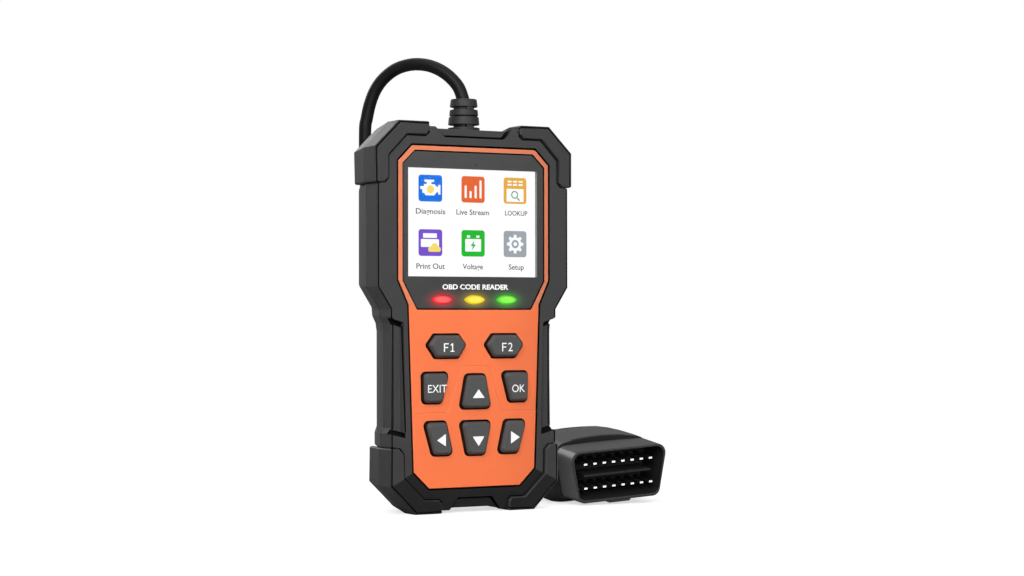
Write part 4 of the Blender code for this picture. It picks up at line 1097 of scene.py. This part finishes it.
def text_mesh(name, words, cap, centre, y, width, bold=0.0):
    """Lettering as a thin closed solid on the plane y, facing the front. cap is the height of
    a capital, centre the middle of the words at half that height."""
    thickness = 0.03
    capital = glyphs("H", bold)
    heights = [v.co.y for v in capital.vertices]
    bpy.data.meshes.remove(capital)
    mesh = glyphs(words, bold)
    xs = [v.co.x for v in mesh.vertices]
    x0, x1 = min(xs), max(xs)
    scale_z = cap / (max(heights) - min(heights))
    scale_x = width / (x1 - x0)
    for v in mesh.vertices:
        x, z, t = v.co
        v.co = (centre[0] + (x - (x0 + x1) / 2) * scale_x, y - t * thickness,
                centre[1] + (z + bold) * scale_z - cap / 2)
    bm = bmesh.new()
    bm.from_mesh(mesh)
    bpy.data.meshes.remove(mesh)
    bmesh.ops.remove_doubles(bm, verts=bm.verts, dist=0.0008)
    return mesh_object(name, bm)


def letter_f(left, bottom, top):
    stem, arm, bar = left + 0.43, left + 1.95, left + 1.95 * 0.88
    return [(left, bottom), (stem, bottom), (stem, bottom + 1.36), (bar, bottom + 1.36),
            (bar, bottom + 1.76), (stem, bottom + 1.76), (stem, top - 0.40),
            (arm, top - 0.40), (arm, top), (left, top)]


def digit_one(left, right, bottom, top):
    middle = (left + right) / 2 + 0.06
    return [(left, bottom), (right, bottom), (right, bottom + 0.36),
            (middle + 0.22, bottom + 0.36), (middle + 0.22, top), (middle - 0.10, top),
            (left + 0.08, top - 0.52), (left + 0.08, top - 0.95), (middle - 0.22, top - 0.66),
            (middle - 0.22, bottom + 0.36), (left, bottom + 0.36)]


def place_legend(ob, key):
    place(ob, "key_grey", legend_ink, body="key_%s_cap" % key)


def legends():
    """Printed legends on the keys, and the line of words on the lens."""
    y = KEY_Y + 0.012
    low, high = y - 0.015, y + 0.015
    bottom, top = 58.66, 61.76
    place_legend(plates("legend_f1", [letter_f(-13.93, bottom, top),
                                      digit_one(-11.25, -9.62, bottom, top)], low, high), "f1")
    two = text_mesh("two", "2", top - bottom, (13.72, (bottom + top) / 2), y, width=1.85)
    place_legend(join("legend_f2", [plates("f", [letter_f(10.19, bottom, top)], low, high),
                                    two]), "f2")
    for key, words, at, cap, width in (("exit", "EXIT", (-16.55, 45.35), 2.78, 7.7),
                                       ("ok", "OK", (17.10, 44.95), 2.72, 5.4)):
        ob = text_mesh("legend_" + key, words, cap, at, y, width)
        ob.data.shade_flat()
        place_legend(ob, key)
    arrows = {"up": [(0.37, 44.90), (-2.10, 41.70), (2.84, 41.70)],
              "down": [(-2.12, 27.67), (2.70, 27.67), (0.35, 24.15)],
              "left": [(-16.75, 26.65), (-13.18, 28.98), (-13.18, 24.44)],
              "right": [(13.86, 29.30), (17.58, 26.96), (13.86, 24.68)]}
    for key, triangle in arrows.items():
        place_legend(plates("legend_" + key, [soft(triangle, 0.10, 3)], y - 0.03, y + 0.01), key)
    ob = text_mesh("window_line", "OBD CODE READER", 1.86, (0.4, 82.25), LENS_FRONT + 0.004,
                   width=27.4, bold=0.030)
    place(ob, "lens_dark", legend_ink)


# ---- the display's picture ---------------------------------------------------------------
DISPLAY_Y = 1.70
SHEET = 0.03                                # thickness of one layer of ink
PICTURE = (-27.3, LCD_Z0 - 0.3, 26.6, LCD_Z1 + 0.3)     # x0, z0, x1, z1
TILE_HALF = 4.85
TILE_CENTRES = [(x, z) for z in (118.05, 98.28) for x in (-17.4, 0.22, 17.9)]
CAPTION_CENTRES = [(x, z) for z in (109.7, 89.75) for x in (-17.3, 0.1, 18.4)]
BEZEL = [(24.2, 130.9), (28.7, 126.4), (28.7, 84.85), (28.2, 83.9)]

backlight = lit("screen_backlight", (1.0, 1.0, 0.995), uneven=0.01)
white_ink = lit("screen_white_ink", (0.97, 0.98, 1.0), uneven=0.02)
blue = lit("ink_blue", (0.012, 0.175, 0.80))
orange = lit("ink_orange", (0.80, 0.135, 0.034))
amber = lit("ink_amber", (0.79, 0.42, 0.065))
purple = lit("ink_purple", (0.190, 0.090, 0.62))
green = lit("ink_green", (0.020, 0.50, 0.035))
slate = lit("ink_slate", (0.345, 0.385, 0.430))
pale_yellow = lit("ink_pale_yellow", (0.95, 0.72, 0.16))
grey = lit("ink_grey", (0.085, 0.085, 0.090), raster=False)
leaf = lit("ink_leaf", (0.06, 0.30, 0.12))

# (name, ink, caption, caption width, height of its capitals)
TILES = [("engine", blue, "Diagnosis", 12.0, 1.95), ("data", orange, "Live Stream", 13.6, 1.95),
         ("codes", amber, "LOOKUP", 9.5, 1.75), ("print", purple, "Print Out", 11.6, 1.95),
         ("volts", green, "Voltage", 8.4, 1.95), ("setup", slate, "Setup", 6.4, 1.95)]


def display_ground():
    """White ground, the wall of the window between print and display, and the bezel."""
    place(plates("screen_picture", [rect(*PICTURE)], DISPLAY_Y, DISPLAY_Y + 0.08),
          "screen_white", backlight)
    ob = plates("window_wall", [rect(*WINDOW, grow=0.3)], LENS_FRONT + 0.22, DISPLAY_Y - 0.02)
    carve(ob, prism(rect(*WINDOW), -1.0, 3.0))
    place(ob, "lens_dark", window_wall)
    ob = plates("screen_bezel", [mirrored(BEZEL)], DISPLAY_Y + 0.01, DISPLAY_Y + 0.07)
    carve(ob, prism(rect(*PICTURE, grow=0.03), 0.0, 4.0))
    place(ob, "lens_dark", display_bezel)


def tiles():
    square = soft(rect(-TILE_HALF, -TILE_HALF, TILE_HALF, TILE_HALF), 1.1, 6)
    for (name, ink, *_), centre in zip(TILES, TILE_CENTRES):
        place(plates("tile_" + name, [moved(square, *centre)], DISPLAY_Y - SHEET, DISPLAY_Y),
              "screen_white", ink)


def mark(name, tile, layer, ink, outlines, hoop=None):
    """Pictogram part on a tile, in the given layer of ink above it. Outlines are measured
    from the tile's centre; hoop is (x, z, outer radius, inner radius)."""
    cx, cz = TILE_CENTRES[tile]
    front, back = DISPLAY_Y - SHEET * (layer + 1), DISPLAY_Y - SHEET * layer
    solids = []
    if hoop:
        x, z, outer, inner = hoop
        profile = [(outer, front), (outer, back), (inner, back), (inner, front)]
        solids.append(lathe(profile, (cx + x, 0.0, cz + z), "y", count=28, phase=0.0))
    solids += [prism(moved(outline, cx, cz), front, back) for outline in outlines]
    place(build("mark_" + name, *solids), "screen_white", ink)


def gear(low, high, teeth=8):
    points = []
    for k in range(teeth):
        for part, radius in ((-0.30, low), (-0.20, high), (0.20, high), (0.30, low)):
            w = 2 * math.pi * (k + part) / teeth
            points.append((radius * math.cos(w), radius * math.sin(w)))
    return points


def marks():
    engine = [(-2.6, 1.5), (-1.5, 1.5), (-1.5, 2.3), (-2.4, 2.3), (-2.4, 3.1), (1.5, 3.1),
              (1.5, 2.3), (0.4, 2.3), (0.4, 1.5), (1.7, 1.5), (2.6, 0.6), (3.2, 0.6),
              (3.2, 1.3), (4.1, 1.3), (4.1, -2.2), (3.2, -2.2), (3.2, -1.4), (2.6, -1.4),
              (1.5, -2.6), (-1.9, -2.6), (-2.7, -1.7), (-3.3, -1.7), (-3.3, -0.4),
              (-4.1, -0.4), (-4.1, 0.7), (-3.3, 0.7), (-2.6, 0.7)]
    mark("engine", 0, 1, white_ink, [engine])
    mark("engine_core", 0, 2, pale_yellow, [circle(0.0, -0.4, 1.45, 28)])
    # four bars
    mark("data", 1, 1, white_ink, [soft(rect(x - 0.42, -3.2, x + 0.42, -3.2 + tall), 0.25, 3)
                                   for x, tall in ((-3.1, 4.6), (-1.05, 2.6), (1.05, 4.6),
                                                   (3.1, 6.6))])
    # page with two rows of dashes and a magnifier
    mark("codes", 2, 1, white_ink, [rect(-3.6, -4.1, 3.6, 0.7)])
    mark("codes_lines", 2, 1, white_ink,
         [rect(-3.2 + 2.35 * k, z, -1.5 + 2.35 * k, z + 0.6) for z in (1.9, 3.1)
          for k in range(3)])
    mark("codes_glass", 2, 2, leaf, [[(0.72, -2.75), (1.02, -2.45), (2.05, -3.45),
                                      (1.72, -3.78)]], hoop=(-0.2, -1.5, 1.45, 1.05))
    # printer with a cloud
    cloud = [(-0.9, -3.3), (4.1, -3.3), (4.3, -1.9), (3.1, -1.2), (2.4, -0.2), (0.9, -0.2),
             (0.3, -1.3), (-0.9, -1.8)]
    mark("print", 3, 1, white_ink, [rect(-3.0, 1.75, 2.6, 3.4),
                                    soft(rect(-3.9, -1.6, 3.5, 1.3), 0.4, 3)])
    mark("print_cloud", 3, 2, pale_yellow, [soft(cloud, 0.7)])
    # battery with a bolt
    mark("volts", 4, 1, white_ink, [soft(rect(-3.3, -3.0, 3.3, 1.6), 0.3, 3),
                                    rect(-2.6, 2.1, -1.3, 2.9), rect(1.3, 2.1, 2.6, 2.9)])
    mark("volts_bolt", 4, 2, green, [[(0.55, 1.0), (-1.15, -0.95), (-0.15, -0.95),
                                      (-0.55, -2.5), (1.15, -0.4), (0.15, -0.4)]])
    mark("setup", 5, 1, white_ink, [gear(2.6, 3.5)])
    mark("setup_hub", 5, 2, slate, [circle(0.0, 0.0, 1.55, 28)])
    mark("setup_axle", 5, 3, white_ink, [circle(0.0, 0.0, 0.75, 28)])


def captions():
    words = [text_mesh("word", caption, cap, centre, DISPLAY_Y - 0.015, width, bold=0.010)
             for (_, _, caption, width, cap), centre in zip(TILES, CAPTION_CENTRES)]
    place(join("screen_captions", words), "screen_white", grey)


# ---- lead and its boots ------------------------------------------------------------------
PLUG = (Matrix.Translation(PLUG_CENTRE)
        @ (Matrix.Rotation(math.radians(PLUG_YAW), 4, "Z")
           @ Matrix.Rotation(math.radians(PLUG_PITCH), 4, "X")
           @ Matrix.Rotation(math.radians(-PLUG_ROLL), 4, "Y")))


def spline(points, steps=7):
    """Catmull-Rom curve through the points."""
    points = [Vector(p) for p in points]
    knots = [points[0] * 2 - points[1]] + points + [points[-1] * 2 - points[-2]]
    out = []
    for i in range(1, len(knots) - 2):
        p0, p1, p2, p3 = knots[i - 1:i + 3]
        for k in range(steps):
            t = k / steps
            out.append(0.5 * ((2 * p1) + (p2 - p0) * t + (2 * p0 - 5 * p1 + 4 * p2 - p3) * t * t
                              + (3 * p1 - p0 - 3 * p2 + p3) * t ** 3))
    return out + [points[-1]]


def tube(path, radii, count=28):
    last = len(path) - 1
    tangents = [(path[min(i + 1, last)] - path[max(i - 1, 0)]).normalized()
                for i in range(len(path))]
    side = tangents[0].orthogonal().normalized()
    rings = []
    for point, tangent, radius in zip(path, tangents, radii):
        side = (side - tangent * side.dot(tangent)).normalized()
        up = tangent.cross(side)
        rings.append([tuple(point + (side * math.cos(2 * math.pi * k / count)
                                     + up * math.sin(2 * math.pi * k / count)) * radius)
                      for k in range(count)])
    return rings


def cable():
    loop = [(LOOP_DIR[0] * s, PART_Y + LOOP_DIR[1] * s, z) for s, z in LOOP]
    end = [tuple(PLUG @ Vector((0.0, PLUG_PIVOT + back, rise)))
           for back, rise in ((10.0, 0.3), (3.0, 0.0), (0.0, 0.0))]
    path = spline(loop + LEAD_TAIL + end)
    start_way = (path[1] - path[0]).normalized()
    end_way = (path[-1] - path[-2]).normalized()
    # nearly round caps, from the tip inwards
    cap = [math.radians(90 * k / 5.4) for k in (5, 4, 3, 2, 1)]
    cap_radii = [CABLE_R * math.cos(w) for w in cap]
    radii = cap_radii + [CABLE_R] * len(path) + cap_radii[::-1]
    path = ([path[0] - start_way * CABLE_R * math.sin(w) for w in cap] + path
            + [path[-1] + end_way * CABLE_R * math.sin(w) for w in cap[::-1]])
    ob = build("cable_fine", tube(path, radii))
    ob.data.shade_smooth()
    place(ob, "lead_black", lead_pvc, body="lead")


def band(r0, h0, r1, h1, edge=0.22):
    """One ring of a boot, (radius, height) from its lower to its upper rounded edge."""
    return [(r0 - edge, h0), (r0 - edge * 0.3, h0 + edge * 0.25), (r0, h0 + edge),
            (r1, h1 - edge), (r1 - edge * 0.3, h1 - edge * 0.25), (r1 - edge, h1)]


def groove(radius, h0, h1, bridge):
    return [(radius, h0, bridge), (radius, h1, bridge)]


def cable_boot():
    front, sides = (90, 16, 5.1), (0, 16, 5.2)
    profile = [(2.6, 134.2), (4.3, 134.2), (4.3, 136.0), (3.4, 136.0), (3.4, 139.6),
               *band(5.9, 139.6, 5.9, 141.1, 0.2), *groove(3.8, 141.35, 142.15, front),
               *band(5.8, 142.2, 5.55, 145.1), *groove(3.8, 145.2, 145.55, sides),
               *band(5.35, 145.6, 5.2, 147.75), *groove(3.8, 147.85, 148.7, front),
               *band(5.15, 148.8, 4.85, BOOT_TOP, 0.3),
               (4.2, BOOT_TOP), (2.75, PIVOT_Z - 0.6), (2.65, 145.8)]
    ob = build("cable_boot_fine", lathe(profile, (0.0, PART_Y, 0.0), "z"))
    soften(ob, smooth=38)
    place(ob, "lead_black", boot_pvc)


# ---- diagnostic plug: x across, y back from the mouth, z up, in the plug's own frame ------
# (y, half width at top, at bottom, top, bottom, upper and lower corner radius, crown,
#  how far back the middle of the top lies behind its sides)
PLUG_STATIONS = [
    (0.00, 20.72, 16.9, 9.62, -9.85, 3.3, 2.7, 0.0, 0.0),
    (0.10, 20.92, 17.1, 9.80, -10.05, 3.5, 2.9, 0.0, 0.0),
    (0.40, 21.02, 17.2, 9.90, -10.15, 3.6, 3.0, 0.0, 0.0),
    (6.0, 21.05, 17.4, 9.98, -10.2, 3.6, 3.0, 0.0, 0.6),
    (12.6, 21.1, 17.8, 10.05, -10.25, 3.7, 3.1, 0.0, 2.9),
    (12.85, 20.95, 17.7, 9.85, -10.15, 3.7, 3.1, 0.0, 2.9),
    (13.05, 20.6, 17.4, 9.42, -10.05, 3.6, 3.1, 0.0, 2.9),
    (13.60, 20.6, 17.4, 9.42, -10.2, 3.7, 3.2, 0.0, 2.9),
    (13.72, 20.8, 17.6, 9.50, -10.5, 3.9, 3.3, 0.7, 2.9),
    (13.95, 21.3, 18.2, 9.75, -11.0, 4.4, 3.6, 1.65, 2.8),
    (14.35, 21.6, 18.6, 9.85, -11.5, 4.8, 3.9, 1.95, 2.6),
    (16.0, 22.0, 19.0, 9.90, -12.2, 5.4, 4.3, 2.05, 2.2),
    (20.0, 22.3, 19.3, 9.95, -13.0, 5.9, 4.6, 2.05, 1.6),
    (24.0, 22.5, 19.6, 10.0, -13.6, 6.3, 5.0, 2.0, 1.0),
    (30.0, 22.3, 19.4, 10.1, -13.9, 6.6, 5.4, 1.9, 0.5),
    (36.0, 21.5, 18.6, 10.2, -13.6, 6.9, 5.6, 1.7, 0.2),
    (41.0, 19.6, 17.2, 10.2, -12.6, 6.9, 5.6, 1.4, 0.0),
    (45.0, 17.0, 15.2, 9.6, -11.3, 6.6, 5.5, 1.0, 0.0),
    (48.5, 13.9, 12.8, 8.2, -9.6, 6.0, 5.3, 0.5, 0.0),
    (50.8, 11.0, 10.4, 7.0, -8.0, 5.2, 4.9, 0.1, 0.0),
    (51.7, 9.4, 9.0, 6.3, -6.9, 4.6, 4.4, 0.0, 0.0),
    (52.0, 8.6, 8.2, 5.9, -6.3, 4.2, 4.0, 0.0, 0.0)]


def place_on_plug(ob, slot, *materials):
    place(ob, slot, *materials, body="plug", matrix=TO_ROW @ PLUG)


def mouth(half_top, half_low, top, low, r_top, r_low):
    """Rounded trapezoid of the plug's section."""
    corners = [(-half_top, top), (half_top, top), (half_low, low), (-half_low, low)]
    return soft(corners, [r_top, r_top, r_low, r_low], 8)


def even(points, count=120):
    """Closed outline resampled to evenly spaced points, from its top centre."""
    points = [Vector(p) for p in points]
    total = len(points)
    for i in range(total):
        a, b = points[i], points[(i + 1) % total]
        if a.x <= 0.0 < b.x and a.y > 0:
            first, start = i, a.lerp(b, -a.x / (b.x - a.x))
    loop = [start] + [points[(first + 1 + k) % total] for k in range(total)] + [start]
    lengths = [0.0]
    for a, b in zip(loop, loop[1:]):
        lengths.append(lengths[-1] + (b - a).length)
    out = []
    j = 0
    for k in range(count):
        wanted = lengths[-1] * k / count
        while lengths[j + 1] < wanted:
            j += 1
        span = lengths[j + 1] - lengths[j]
        p = loop[j].lerp(loop[j + 1], (wanted - lengths[j]) / span if span > 1e-9 else 0.0)
        out.append((p.x, p.y))
    return out


def plug_body():
    rings = []
    for y, half_top, half_low, top, low, r_top, r_low, crown, back in PLUG_STATIONS:
        row = []
        for x, z in even(mouth(half_top, half_low, top, low, r_top, r_low)):
            k = max(0.0, 1 - (x / half_top) ** 2) * max(0.0, min(1.0, z / top)) ** 2
            row.append((x, y + back * k, z + crown * k))
        rings.append(row)
    return rings


def plug_shell():
    ob = build("plug_shell_fine", plug_body())
    # rib under the mouth
    rib = [(-4.8, -9.4), (4.8, -9.4), (4.8, -10.45), (4.3, -10.95), (-4.3, -10.95),
           (-4.8, -10.45)]
    carve(ob, prism(rib, 0.35, 12.0), operation="UNION")
    # flared mouth
    carve(ob, [ring(mouth(18.95 + grow, 15.85 + grow, 8.12 + grow, -8.12 - grow, 2.2 + grow,
                          1.8 + grow), y)
               for y, grow in ((-2.0, 1.0), (0.0, 0.92), (1.2, 0.70), (5.5, 0.0), (33.0, 0.0))])
    carve(ob, turned([(4.5, 31.0), (4.5, 56.0)], (0.0, 0.0, 0.0), count=40))
    # two finger notches on top near the lead
    notches = []
    for y in (38.6, 41.4):
        outline = soft([(-5.6, y), (5.6, y), (5.6, y + 1.9), (-5.6, y + 1.9)], 0.6, 4)
        notches.append([[(a, b, z) for a, b in outline]
                        for z in (10.2 - (y - 38.6) * 0.12, 16.0)])
    carve(ob, *notches)
    soften(ob, 0.16, angle=40)
    for face in ob.data.polygons:
        x, y, z = face.center
        normal = face.normal
        # painted shade: the inside of the mouth takes the pin block's near-black plastic
        if 0.25 < y < 34.0 and abs(x) < 19.9 and abs(z) < 9.15 and (
                normal.y < -0.9 or x * normal.x + z * normal.z < 0):
            face.material_index = 1
        # painted shade on the steep wall where the body rises behind the collar
        if 12.2 < y < 19.0 and z > 7.6 and normal.y < -0.10:
            face.material_index = 2
        # painted light: the left flank of the collar takes a paler copy of the plug plastic
        if 0.3 < y < 11.5 and x < -15.0 and normal.x < -0.55 and face.material_index == 0:
            face.material_index = 3
    place_on_plug(ob, "shell_black", plug_plastic, block_plastic_and_mouth_shade, plug_step_shade, plug_flank_lit)


def plug_inside():
    """The pin block with its middle tongue, and the two rows of pins."""
    ob = build("pin_block_fine", prism(mouth(18.6, 15.5, 7.8, -7.8, 1.9, 1.5), 13.0, 19.0))
    carve(ob, [ring(rect(-14.4, -half, 14.4, half), y)
               for y, half in ((1.6, 0.36), (1.8, 0.5), (14.0, 0.5))], operation="UNION")
    pins = []
    for side in (1, -1):
        for k in range(PIN_COUNT):
            x = (k - (PIN_COUNT - 1) / 2) * PIN_PITCH
            z = side * (ROW_SPACING / 2 + 0.2)
            pins.append((x - PIN_W / 2, z - PIN_H / 2, x + PIN_W / 2, z + PIN_H / 2))
    carve(ob, *[prism(rect(*pin, grow=GAP), 11.0, 22.0) for pin in pins])
    soften(ob, 0.12, angle=40)
    place_on_plug(ob, "block_black", block_plastic_and_mouth_shade)
    # (inset, y): the blade's chamfered tip, then its full length
    tip = ((0.20, 0.95), (0.12, 1.0), (0.03, 1.3), (0.0, 1.7), (0.0, 24.0))
    for i, (x0, z0, x1, z1) in enumerate(pins):
        ob = build("pin_%02d_fine" % (i + 1),
                   [ring(soft(rect(x0 + inset, z0 + inset * 0.7, x1 - inset,
                                   z1 - inset * 0.7), 0.10, 3), y) for inset, y in tip])
        soften(ob, smooth=30)
        place_on_plug(ob, "pin_metal", pin_plating)


def plug_boot():
    end = PLUG_PIVOT + 2.3
    side, upright = (0, 18, 4.5), (90, 18, 4.8)
    profile = [(2.75, 42.0), (4.2, 42.0), (4.2, 52.3),
               *band(6.0, 52.4, 5.8, 54.8), *groove(3.8, 54.9, 55.8, upright),
               *band(5.6, 55.9, 5.4, 58.2), *groove(3.7, 58.3, 59.2, side),
               *band(5.2, 59.3, 5.0, 61.6), *groove(3.7, 61.7, 62.6, upright),
               *band(4.95, 62.7, 4.8, end, 0.3),
               (4.0, end), (2.75, PLUG_PIVOT - 0.6), (2.65, 61.0)]
    ob = build("plug_boot_fine", lathe(profile, (0.0, 0.0, 0.0), "y"))
    soften(ob, smooth=38)
    place_on_plug(ob, "lead_black", boot_pvc)


# ---- inside pieces keep their CAD shape --------------------------------------------------
def dress_inside():
    looks = {"lcd_panel": display_bezel, "lcd_frame": tray_steel, "lcd_ribbon": ribbon_film,
             "keypad_mat": keypad_silicone, "main_board": board_mask,
             "processor": component_epoxy, "buzzer": component_epoxy,
             "board_connector": header_nylon, "cable_wires": lead_pvc}
    looks.update({"led_" + name: material for name, material in LIGHTS.items()})
    looks.update({"case_screw_%d" % k: screw_zinc for k in range(1, 5)})
    looks.update({"board_screw_%d" % k: screw_zinc for k in range(1, 3)})
    for name, material in looks.items():
        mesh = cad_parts[name].data
        mesh.materials.clear()
        mesh.materials.append(material)


# ---- camera, light, floor ----------------------------------------------------------------
CAMERA_AT = (-382.380, -707.371, 71.030)
CAMERA_LENS = 77.20734375       # focal length on a 36 mm wide sensor
CAMERA_YAW, CAMERA_PITCH, CAMERA_ROLL = 0.512490, 0.0134727, -0.00141987    # radians

# (name, place in row-frame metres, width, watts, height or None for a square)
AREA_LIGHTS = [("key", (-0.80, -0.95, 0.80), 0.7, 11.5, None),
               ("fill", (-0.58, -1.10, 0.20), 0.6, 5.0, None),
               ("front", (0.30, -1.30, 0.55), 0.9, 6.3, None),
               ("top", (0.1, 0.2, 1.3), 0.9, 3.0, None),
               ("rim", (-0.15, 1.1, 0.62), 1.0, 6.0, 0.5)]


def camera():
    yaw, pitch, roll = CAMERA_YAW, CAMERA_PITCH, CAMERA_ROLL
    ahead = Vector((math.sin(yaw) * math.cos(pitch), math.cos(yaw) * math.cos(pitch),
                    math.sin(pitch)))
    level = Vector((math.cos(yaw), -math.sin(yaw), 0.0))
    upright = level.cross(ahead)
    right = level * math.cos(roll) + upright * math.sin(roll)
    up = -level * math.sin(roll) + upright * math.cos(roll)
    data = bpy.data.cameras.new("camera")
    data.sensor_fit, data.sensor_width = "HORIZONTAL", 36.0
    data.lens = CAMERA_LENS
    data.clip_start, data.clip_end = 0.05, 20.0
    ob = bpy.data.objects.new("camera", data)
    bpy.context.scene.collection.objects.link(ob)
    turn = Matrix((right, up, -ahead)).transposed().to_4x4()
    ob.matrix_world = Matrix.Translation(TO_ROW @ Vector(CAMERA_AT)) @ turn
    bpy.context.scene.camera = ob


def area_light(name, at, size, power, size_y):
    """Area light aimed at the row frame's origin."""
    data = bpy.data.lights.new(name, "AREA")
    data.energy, data.size = power, size
    if size_y:
        data.shape, data.size_y = "RECTANGLE", size_y
    ob = bpy.data.objects.new(name, data)
    bpy.context.scene.collection.objects.link(ob)
    ob.location = at
    ob.rotation_mode = "QUATERNION"
    ob.rotation_quaternion = (-Vector(at)).to_track_quat("-Z", "Y")


def floor_material():
    """Paper sweep: self-lit to the camera, fading to white; dimmer for all other rays."""
    p = Paint("floor_paper", (0.50, 0.50, 0.50), 0.9)
    p.set("Base Color", p.mix(p.ramp(p.noise(size=60.0, detail=3.0)), (0.49, 0.49, 0.49),
                              (0.51, 0.51, 0.51)))
    p.set("Specular IOR Level", 0.0)
    p.glow(WHITE, 0.64)
    camera_ray = p.node("LightPath").outputs["Is Camera Ray"]
    dim = p.node("BsdfDiffuse", {"Color": (0.27, 0.27, 0.27)}).outputs[0]
    away = p.ramp(p.vector("LENGTH", p.coord, output="Value"), low=0.16, high=0.34)
    far = p.node("Emission", {"Color": WHITE, "Strength": 1.0}).outputs[0]
    seen = p.mix_shader(away, p.principled.outputs[0], far)
    p.surface(p.mix_shader(camera_ray, dim, seen))
    return p.material


def studio_floor():
    radius, count = 6000.0, 96
    bm = bmesh.new()
    rim = [bm.verts.new((x / 1000.0, z / 1000.0, -MID_Z / 1000.0))
           for x, z in circle(0.0, 0.0, radius, count)]
    bm.faces.new(rim)
    floor = mesh_object("floor", bm)
    floor.data.materials.clear()
    floor.data.materials.append(floor_material())


def studio_world():
    """White to the camera; for the object a soft dome, brighter behind and above."""
    world = bpy.data.worlds.new("studio")
    bpy.context.scene.world = world
    world.use_nodes = True
    graph = Graph(world.node_tree)
    background = world.node_tree.nodes["Background"]
    camera_ray = graph.node("LightPath").outputs["Is Camera Ray"]
    way = graph.node("SeparateXYZ", {0: graph.node("TexCoord").outputs["Generated"]})
    above = graph.ramp(way.outputs["Z"], low=-0.05, high=0.75, to_low=0.20, to_high=0.55)
    behind = graph.ramp(way.outputs["Y"], low=0.35, high=0.95, to_low=0.0, to_high=0.22)
    dome = graph.math("ADD", above, behind)
    strength = graph.node("Mix", {0: camera_ray, 2: dome, 3: 1.0}, data_type="FLOAT")
    graph.put(background.inputs["Color"], WHITE)
    graph.put(background.inputs["Strength"], strength.outputs[0])


front_shell()
rear_shell()
for height, stations in (("top", BUMPER_TOP), ("bottom", BUMPER_LOW)):
    bumper("bumper_%s_right" % height, stations, 1)
    bumper("bumper_%s_left" % height, stations, -1)
face_plate()
lens_piece()
light_pipes()
keys()
legends()
display_ground()
tiles()
marks()
captions()
cable_boot()
cable()
plug_shell()
plug_inside()
plug_boot()
dress_inside()
camera()
studio_floor()
studio_world()
for light in AREA_LIGHTS:
    area_light(*light)
bpy.context.scene.view_settings.view_transform = "Standard"
